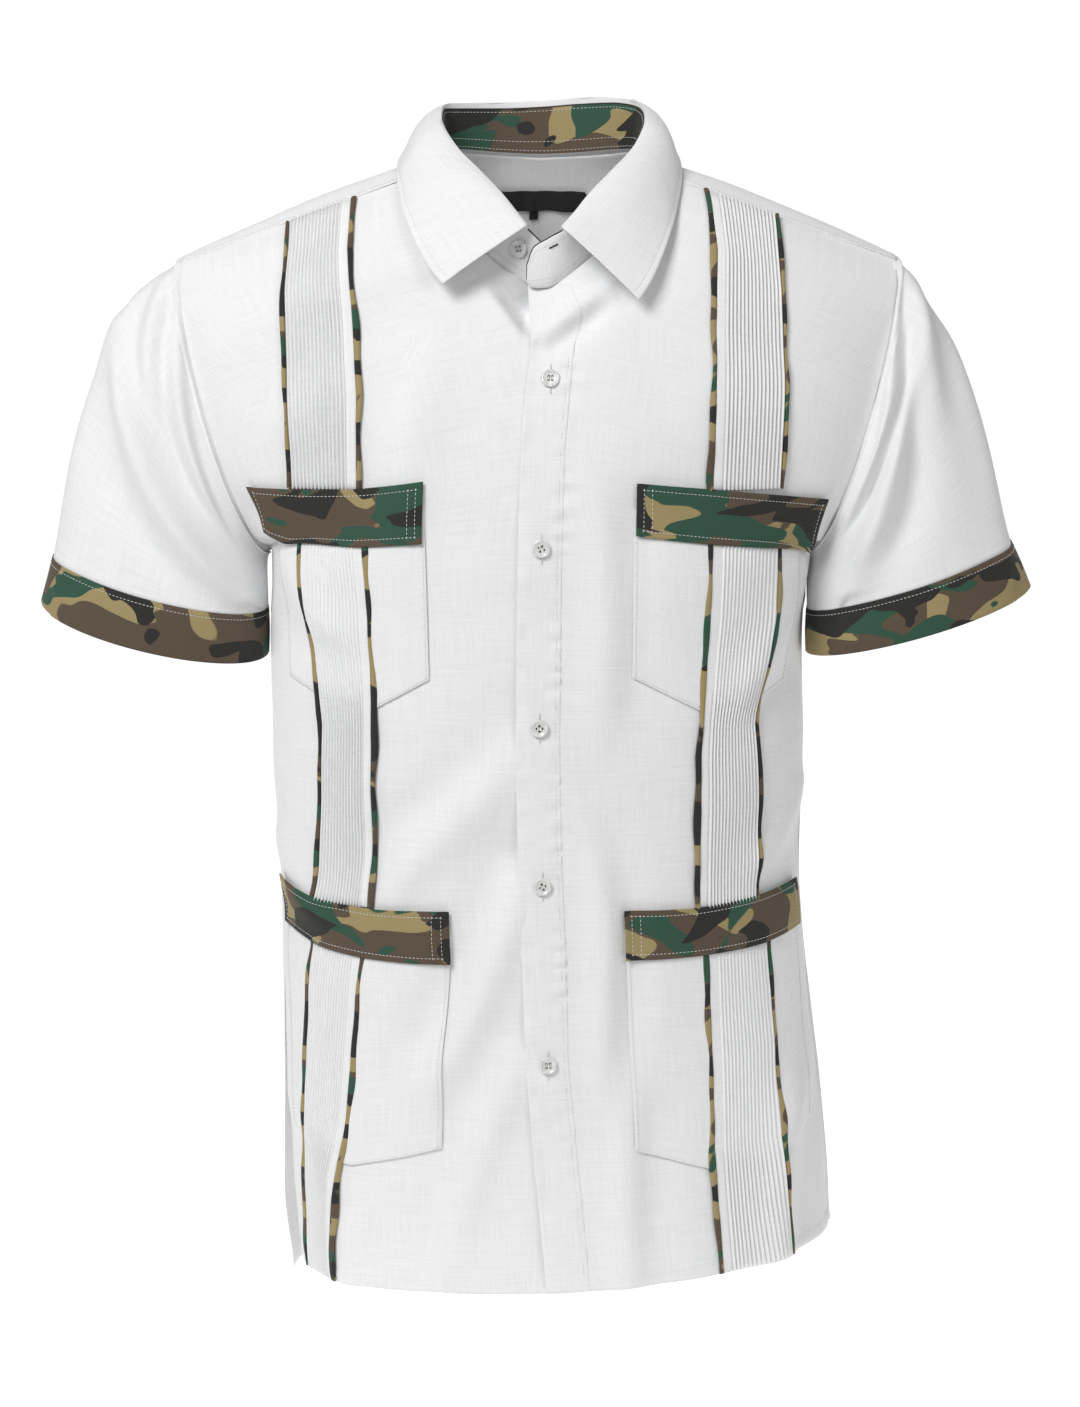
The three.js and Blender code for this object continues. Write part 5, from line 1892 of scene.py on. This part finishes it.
@dataclass
class Sleeve:
    """A set-in short sleeve and its camouflage cuff."""

    side: Side
    wardrobe: Wardrobe
    stitching: Stitching
    folds: Sequence = ()
    girth: float = 400.0
    cut: Cut = Cut(0.47, 0.23, 0.55, ("yoke",))
    cuff_cut: tuple[float, float] = (0.41, 0.04)

    def build(self) -> list[bpy.types.Object]:
        """Makes the sleeve and the cuff."""
        word = self.side.word
        surface = TubeSurface(self.side, SLEEVE[self.side])
        across, down = np.linspace(0, 1, 151)[:-1], np.linspace(0, 1, 86)
        points, normals = self._face(surface, across, down, Layer.PANEL.value, 0.0, 1.0)
        seam = armhole(self.side, 360 * across - 180)
        axis = unit(points[3].mean(axis=0) - seam.mean(axis=0))
        tucked = seam + normals[0] * 0.45 - axis * 3.0
        points = np.concatenate([tucked[None], points])
        normals = np.concatenate([normals[:1], normals])
        piece = ClothSheet(f"sleeve_{word}_cloth", points, normals, closed=True).build(self.wardrobe.white)
        settle(piece, [f"sleeve_{word}"], self.cut)
        cuff_surface = TubeSurface(self.side, CUFF[self.side])
        rows = np.linspace(0, 1, 17)
        cuff_points, cuff_normals = self._face(cuff_surface, across, rows, Layer.PANEL.value + 0.5, 1.0, 0.0)
        d = rows[:, None]
        swell = 0.5 * np.sin(np.pi * d) - 0.3 * np.exp(-((d - 0.1) / 0.025) ** 2)
        cuff_points = cuff_points + cuff_normals * swell[..., None]
        cuff = ClothSheet(f"cuff_{word}_cloth", cuff_points, cuff_normals, 1.1, True,
                          (0.31 if self.side is Side.LEFT else 0.83, 0.2)).build(self.wardrobe.camo)
        settle(cuff, [f"cuff_{word}"], Cut(*self.cuff_cut, 1.0, (f"sleeve_{word}",)))
        closed = np.concatenate([cuff_points, cuff_points[:, :1]], axis=1)
        lifted = closed + np.concatenate([cuff_normals, cuff_normals[:, :1]], axis=1) * 0.12
        self.stitching.row(lifted, (0, 0.9999), 0.1, 420)
        return [piece, cuff]

    def _face(self, surface: TubeSurface, across: Array, down: Array, height: float, start: float,
              seam: float) -> tuple[Array, Array]:
        """The folded outer face of the sleeve or the cuff.

        Args:
            surface: the pattern surface.
            across: shares round.
            down: shares down.
            height: the face's height over the pattern.
            start: how many sleeve lengths down the folds' measure starts.
            seam: how strongly the seam at the armhole is raised.

        Returns:
            Points and normals.
        """
        a, d = np.meshgrid(across, down)
        pattern, normals = surface.at(a, d), surface.normal(a, d)
        round_it = (a - 0.5) * self.girth
        length = 215.0 if start == 0 else 33.0
        along = (start * 215.0) + d * length
        lift = lift_of(self.folds, round_it, along)
        quiet = np.clip(along / 14, 0, 1)
        under = np.clip(np.minimum(a, 1 - a) / 0.06, 0, 1)
        raised = seam * (1.5 * np.exp(-((along - 4.0) / 3.2) ** 2) - 1.0 * np.exp(-(along / 1.6) ** 2))
        return pattern + normals * (height + lift * quiet * (0.3 + 0.7 * under) + raised)[..., None], normals


# --- Collar ---


@dataclass
class Collar:
    """The stand with its camouflage lining and dark binding, and the fall."""

    wardrobe: Wardrobe
    stitching: Stitching
    stand_cut: tuple[float, float] = (0.42, 0.035)
    fall_cut: Cut = Cut(0.48, 0.075, 0.95, ("collar_stand",))

    def build(self) -> list[bpy.types.Object]:
        """Makes the collar's pieces."""
        stand = BandSurface(STAND_TOP, STAND_SEAM)
        makers = (self._stand, self._lining, self._binding, self._fall, self._button)
        return [make(stand) for make in makers]

    def _stand(self, surface: BandSurface) -> bpy.types.Object:
        """Makes the outer stand."""
        a, d = np.meshgrid(np.linspace(0, 1, 211), np.linspace(0, 1.16, 19))
        at_front = np.clip(np.maximum(0.24 - a, a - 0.76) / 0.04, 0.08, 1)
        normals = surface.normal(a, np.minimum(d, 0.98))
        outward = 0.9 - 1.2 * np.clip((d - 1) / 0.16, 0, 1)
        points = surface.at(a, np.where(d > 1, 1 + (d - 1) * at_front, d)) + normals * outward[..., None]
        piece = ClothSheet("collar_stand_cloth", points, normals, 0.6).build(self.wardrobe.white)
        self.stitching.row(points + normals * 0.12, (0.01, 0.2), 0.13, 60)
        self.stitching.row(points + normals * 0.12, (0.01, 0.99), 0.8, 330)
        settle(piece, ["collar_stand"], Cut(*self.stand_cut))
        shares = np.array([0.098, 0.118])
        ends = sample_grid(points + normals * 0.1, shares, np.array([0.2, 0.2]))
        verts, faces = capsule(ends[0], ends[1], 0.6)
        hole = mesh_object("stand_buttonhole", verts * MM, faces, None, self.wardrobe.binding)
        settle(hole, [])
        return piece

    def _lining(self, surface: BandSurface) -> bpy.types.Object:
        """Makes the printed lining, with a row of stitches above and two below."""
        a, d = np.meshgrid(np.linspace(0, 1, 211), np.linspace(0, 1, 15))
        normals = surface.normal(a, d)
        points = surface.at(a, d) - normals * 0.5
        piece = ClothSheet("stand_lining_cloth", points, -normals, 0.5,
                           shift=(0.62, 0.47)).build(self.wardrobe.camo)
        for share in (0.07, 0.74, 0.94):
            self.stitching.row(points - normals * 0.12, (0.1, 0.9), share, 420)
        return settle(piece, ["stand_lining"], Cut(*self.stand_cut, 1.0, ("collar_stand",)))

    def _binding(self, surface: BandSurface) -> bpy.types.Object:
        """Makes the dark cord along the stand's top edge and down its left end."""
        along = np.linspace(0.0, 0.985, 400)
        top = surface.at(along, np.zeros(400)) - surface.normal(along, np.full(400, 0.02)) * 0.1
        end = surface.at(np.zeros(30), np.linspace(0.98, 0.0, 30))
        path = np.concatenate([end, top[1:]]) + np.array([0.0, 0.0, 0.35])
        verts, faces = tube(path, 0.62, 8)
        made = mesh_object("stand_binding", verts * MM, faces, None, self.wardrobe.binding)
        return settle(made, [])

    def _fall(self, stand: BandSurface) -> bpy.types.Object:
        """Makes the fall, rolled over the stand's top edge."""
        surface = BandSurface(FALL_TOP, FALL_EDGE, FALL_BULGE)
        columns = 241
        across = np.linspace(0, 1, columns)
        a, d = np.meshgrid(across, np.linspace(0, 1, 46) ** 1.15)
        normals = surface.normal(a, d)
        outer = surface.at(a, d)
        edge = stand.at(np.linspace(0, 1, 800), np.zeros(800))
        top = outer[0]
        near = edge[np.argmin(((top[:, None, :] - edge[None, :, :]) ** 2).sum(-1), axis=1)]
        near = smoothed(near, 5)
        share = np.linspace(0, 1, 9)[:-1, None, None]
        bow = np.sin(np.pi * share) * 2.2
        rise = np.array([0.0, 0.0, 1.0])
        gap = np.linalg.norm(top - near, axis=1)[None, :, None]
        roll = near * (1 - share) + top * share + rise * bow * np.clip(gap / 5.0, 0.3, 1.0)
        points = np.concatenate([roll, outer])
        from_edge = np.linalg.norm(outer[-1] - outer[0], axis=1)[None, :] * (1 - d)
        seam_dip = 0.2 * np.exp(-((from_edge - 5.5) / 0.9) ** 2)
        height = 0.8 + 0.25 * np.exp(-((from_edge - 1.2) / 1.5) ** 2) - seam_dip
        height += 0.7 * np.sin(a * 31 + d * 2.2) * d * np.clip(from_edge / 12, 0, 1)
        both = np.concatenate([np.repeat(normals[:1], len(roll), axis=0), normals])
        lift = np.concatenate([np.repeat(height[:1], len(roll), axis=0) * share[..., 0], height])
        points = points + both * lift[..., None]
        true_normals = grid_normals(points)
        if np.sum(true_normals[20:] * both[20:]) < 0:
            true_normals = -true_normals
        piece = ClothSheet("collar_fall_cloth", points, true_normals, 0.9).build(self.wardrobe.white)
        leaf = points[len(roll):]
        inset = 1 - 5.5 / np.maximum(np.linalg.norm(outer[-1] - outer[0], axis=1), 8.0)
        inset = np.interp(np.linspace(0.012, 0.988, 420), across, inset) ** (1 / 1.15)
        self.stitching.add(sample_grid(leaf + normals * 0.12, np.linspace(0.012, 0.988, 420), inset))
        return settle(piece, ["collar_fall"], self.fall_cut)

    def _button(self, surface: BandSurface) -> bpy.types.Object:
        """Makes the button on the stand's right end."""
        across, down = np.array([0.915]), np.array([0.5])
        normal = surface.normal(across, down)[0]
        foot = surface.at(across, down)[0] + normal * 0.9
        return Button("button_stand", foot, normal, self.wardrobe, turn=10.0, upright=False).build()[0]


def tube(path: Array, radius: float, around: int) -> tuple[Array, Array]:
    """A closed round cord along a path.

    Args:
        path: its points.
        radius: its radius.
        around: steps round.

    Returns:
        Vertices and quads.
    """
    along = unit(np.gradient(path, axis=0))
    side = unit(np.cross(along, np.array([0.12, 0.31, 0.94])))
    up = np.cross(along, side)
    angle = np.linspace(0, 2 * np.pi, around, endpoint=False)
    size = np.full(len(path), radius)
    size[0] = size[-1] = radius * 0.1
    rings = path[:, None, :] + size[:, None, None] * (
        np.cos(angle)[None, :, None] * side[:, None, :] + np.sin(angle)[None, :, None] * up[:, None, :])
    return rings.reshape(-1, 3), ring_faces(len(path), around)


# --- Folds, listed one by one ---

# Lines are (x on the wearer's own side, height) on the fronts and (x, height) on the back.
FRONT_FOLDS = {
    Side.RIGHT: (
        Roll((39.6, -82.7), (7.9, -122.5), 18.0, 14.0, -80.0),
        Fold(((14, -395), (48, -430), (96, -480), (120, -520)), 7.6, 15, 0.7, 0.5, 0.0),
        Fold(((10, -480), (34, -540), (62, -600), (98, -650)), 8.5, 14, 0.8, 0.6, 0.0),
        Fold(((12, -600), (40, -660), (60, -740)), 5.8, 13, 0.6, 0.4, 0.6),
        Fold(((60, -110), (84, -180), (92, -280)), 4.9, 20, 0.5, 0.0, 0.0),
        Fold(((176, -250), (150, -300), (112, -330)), 4.9, 13, 0.6, 0.7, 0.0),
        Fold(((178, -470), (150, -505), (120, -520)), 4.5, 12, 0.6, 0.6, 0.0),
        Fold(((150, -640), (138, -700), (132, -757)), 6.7, 14, 0.6, 0.0, 0.9),
        Ripple(1.05, 260, 340, 4),
        Ripple(0.39, 90, 120, 9),
        Pucker(((-4, -130), (-12, -255), (-15, -480), (-14, -740)), 1.1, 9, 17, 3),
    ),
    Side.LEFT: (
        Fold(((44, -88), (22, -104), (3, -117)), 5.8, 6, 0.8, 0.3, 0.6),
        Fold(((34, -180), (44, -300), (40, -420)), 4.5, 14, 0.6, 0.0, 0.0),
        Fold(((178, -262), (150, -330), (118, -380)), 4.9, 14, 0.6, 0.7, 0.0),
        Fold(((30, -430), (44, -520), (42, -640)), 5.4, 11, 0.7, 0.2, 0.2),
        Fold(((66, -585), (58, -660), (60, -750)), 5.4, 13, 0.6, 0.0, 0.8),
        Fold(((176, -600), (164, -680), (160, -745)), 6.7, 13, 0.6, 0.0, 0.9),
        Fold(((180, -430), (150, -470), (128, -480)), 4.0, 12, 0.6, 0.7, 0.0),
        Ripple(1.05, 240, 330, 14),
        Ripple(0.39, 85, 110, 19),
        Pucker(((20, -130), (15, -255), (13, -480), (19, -740)), 1.15, 7, 13, 5),
    ),
}
BACK_FOLDS = (
    Fold(((-150, -120), (-96, -190), (-60, -300)), 7.2, 16, 0.6, 0.5, 0.0),
    Fold(((156, -130), (104, -210), (84, -330)), 7.6, 15, -0.6, 0.5, 0.0),
    Fold(((-30, -250), (-38, -420), (-20, -600)), 6.7, 20, 0.5, 0.0, 0.0),
    Fold(((62, -380), (74, -540), (66, -760)), 8.1, 17, 0.6, 0.0, 0.9),
    Fold(((-92, -430), (-104, -600), (-98, -770)), 8.5, 16, -0.6, 0.0, 0.9),
    Fold(((174, -300), (130, -360), (96, -470)), 5.8, 14, 0.6, 0.6, 0.0),
    Fold(((-176, -310), (-136, -390), (-110, -450)), 5.4, 14, 0.6, 0.6, 0.0),
    Fold(((10, -560), (18, -660), (8, -768)), 6.3, 14, 0.5, 0.0, 0.8),
    Ripple(1.26, 260, 380, 24),
    Ripple(0.42, 95, 130, 29),
)
# Lines are (round from the top of the sleeve towards the front, down from the armhole).
SLEEVE_FOLDS = {
    Side.RIGHT: (
        Fold(((20, 84), (72, 132), (124, 168), (156, 188)), 11.4, 17, 0.8, 0.2, 0.3),
        Fold(((30, 10), (60, 60), (90, 96)), 7.4, 16, 0.6, 0.4, 0.0),
        Fold(((60, 4), (100, 60), (146, 110)), 8.8, 13, 0.7, 0.7, 0.0),
        Fold(((-20, 40), (10, 120), (26, 214)), 5.9, 18, 0.5, 0.0, 0.5),
        Fold(((-60, 4), (-96, 70), (-130, 150)), 8.8, 15, 0.6, 0.5, 0.0),
        Fold(((-24, 10), (-60, 110), (-72, 214)), 6.9, 17, 0.5, 0.2, 0.4),
        Ripple(0.84, 190, 220, 34),
    ),
    Side.LEFT: (
        Fold(((80, 50), (100, 110), (124, 158), (140, 190)), 10.8, 15, 0.8, 0.2, 0.3),
        Fold(((30, 16), (54, 90), (66, 150)), 7.0, 17, 0.6, 0.3, 0.0),
        Fold(((66, 4), (104, 54), (150, 100)), 9.3, 13, 0.7, 0.7, 0.0),
        Fold(((0, 60), (16, 140), (30, 214)), 5.4, 16, 0.5, 0.0, 0.5),
        Fold(((-62, 4), (-100, 80), (-136, 140)), 8.3, 15, 0.6, 0.5, 0.0),
        Fold(((-30, 10), (-56, 100), (-80, 214)), 6.4, 17, -0.5, 0.2, 0.4),
        Ripple(0.84, 180, 230, 44),
    ),
}
YOKE_FOLDS = (Ripple(0.35, 120, 90, 54),)


# --- Studio ---


@dataclass(frozen=True)
class Lamp:
    """A soft lamp, its power a share of the key's."""

    name: str
    place: tuple[float, float, float]
    size: float
    share: float


LAMPS = (
    Lamp("key", (-1.1, -1.9, 1.35), 1.1, 1.0),
    Lamp("side", (1.5, -2.4, 0.9), 1.2, 0.27),
    Lamp("behind", (0.4, 2.6, 0.5), 1.4, 0.5),
)


@dataclass
class Studio:
    """Camera, soft light and a pale floor."""

    camera_at: tuple[float, float, float] = (0.0, -2.730, 0.040)
    camera_pitch: float = 81.35
    lens: float = 102.35
    sensor: float = 36.0
    aim: tuple[float, float, float] = (0.0, 0.0, -0.35)
    backdrop: float = 1.05
    floor_z: float = -1.0
    floor_half: float = 5.0
    floor_front: float = -0.6
    floor_grey: float = 0.5
    floor_glow: float = 0.9
    fill: float = 0.29
    key_watts: float = 49.0

    def camera(self) -> bpy.types.Object:
        """Places the camera."""
        data = bpy.data.cameras.new("camera")
        data.sensor_width = self.sensor
        data.lens = self.lens
        made = bpy.data.objects.new("camera", data)
        made.location = self.camera_at
        made.rotation_euler = (math.radians(self.camera_pitch), 0.0, 0.0)
        bpy.context.scene.collection.objects.link(made)
        bpy.context.scene.camera = made
        return made

    def lights(self) -> None:
        """Sets the world's fill and the soft lamps."""
        scene = bpy.context.scene
        scene.view_settings.view_transform = "Standard"
        world = bpy.data.worlds.new("studio")
        scene.world = world
        world.use_nodes = True
        tree = Tree(world.node_tree)
        path = tree.node("ShaderNodeLightPath")
        strength = Value(tree, path.outputs["Is Camera Ray"]) * (self.backdrop - self.fill) + self.fill
        back = tree.node("ShaderNodeBackground", None, {"Color": (1.0, 1.0, 1.0, 1.0), "Strength": strength})
        tree.node("ShaderNodeOutputWorld", None, {"Surface": back.outputs[0]})
        for lamp in LAMPS:
            data = bpy.data.lights.new(lamp.name, "AREA")
            data.size = lamp.size
            data.energy = self.key_watts * lamp.share
            made = bpy.data.objects.new(lamp.name, data)
            made.location = lamp.place
            way = Vector(self.aim) - Vector(lamp.place)
            made.rotation_euler = way.to_track_quat("-Z", "Y").to_euler()
            scene.collection.objects.link(made)

    def floor(self) -> None:
        """Lays the floor under the hanging shirt."""
        half, near, far = self.floor_half, self.floor_front, self.floor_front + 2 * self.floor_half
        mesh = bpy.data.meshes.new("floor")
        mesh.from_pydata([(-half, near, self.floor_z), (half, near, self.floor_z), (half, far, self.floor_z),
                          (-half, far, self.floor_z)], [], [(0, 1, 2, 3)])
        made = bpy.data.objects.new("floor", mesh)
        material, tree = new_material("pale_floor")
        close_material(tree, {"Base Color": (*(self.floor_grey,) * 3, 1.0), "Roughness": 0.95,
                              "Emission Color": (1.0, 1.0, 1.0, 1.0), "Emission Strength": self.floor_glow})
        mesh.materials.append(material)
        bpy.context.scene.collection.objects.link(made)


def main() -> None:
    """Builds the shirt and the studio."""
    logging.basicConfig(level=logging.INFO, format="%(name)s %(message)s")
    studio = Studio()
    studio.camera()
    studio.lights()
    studio.floor()
    wardrobe = Wardrobe()
    stitching = Stitching()
    for side in Side:
        front = FrontPanel(side, wardrobe, stitching, FRONT_FOLDS[side])
        front.panel()
        for part in ("upper", "middle", "lower"):
            TuckedBand(front, part).build()
        for place in ("chest", "low"):
            PocketSet(front, place).build()
        if side is Side.LEFT:
            Placket(front).build()
        Sleeve(side, wardrobe, stitching, SLEEVE_FOLDS[side]).build()
    BackPanel(wardrobe, stitching, BACK_FOLDS).build()
    Yoke(wardrobe, stitching, YOKE_FOLDS).build()
    Collar(wardrobe, stitching).build()
    settle(stitching.build(wardrobe.thread), [])


if __name__ == "__main__":
    main()
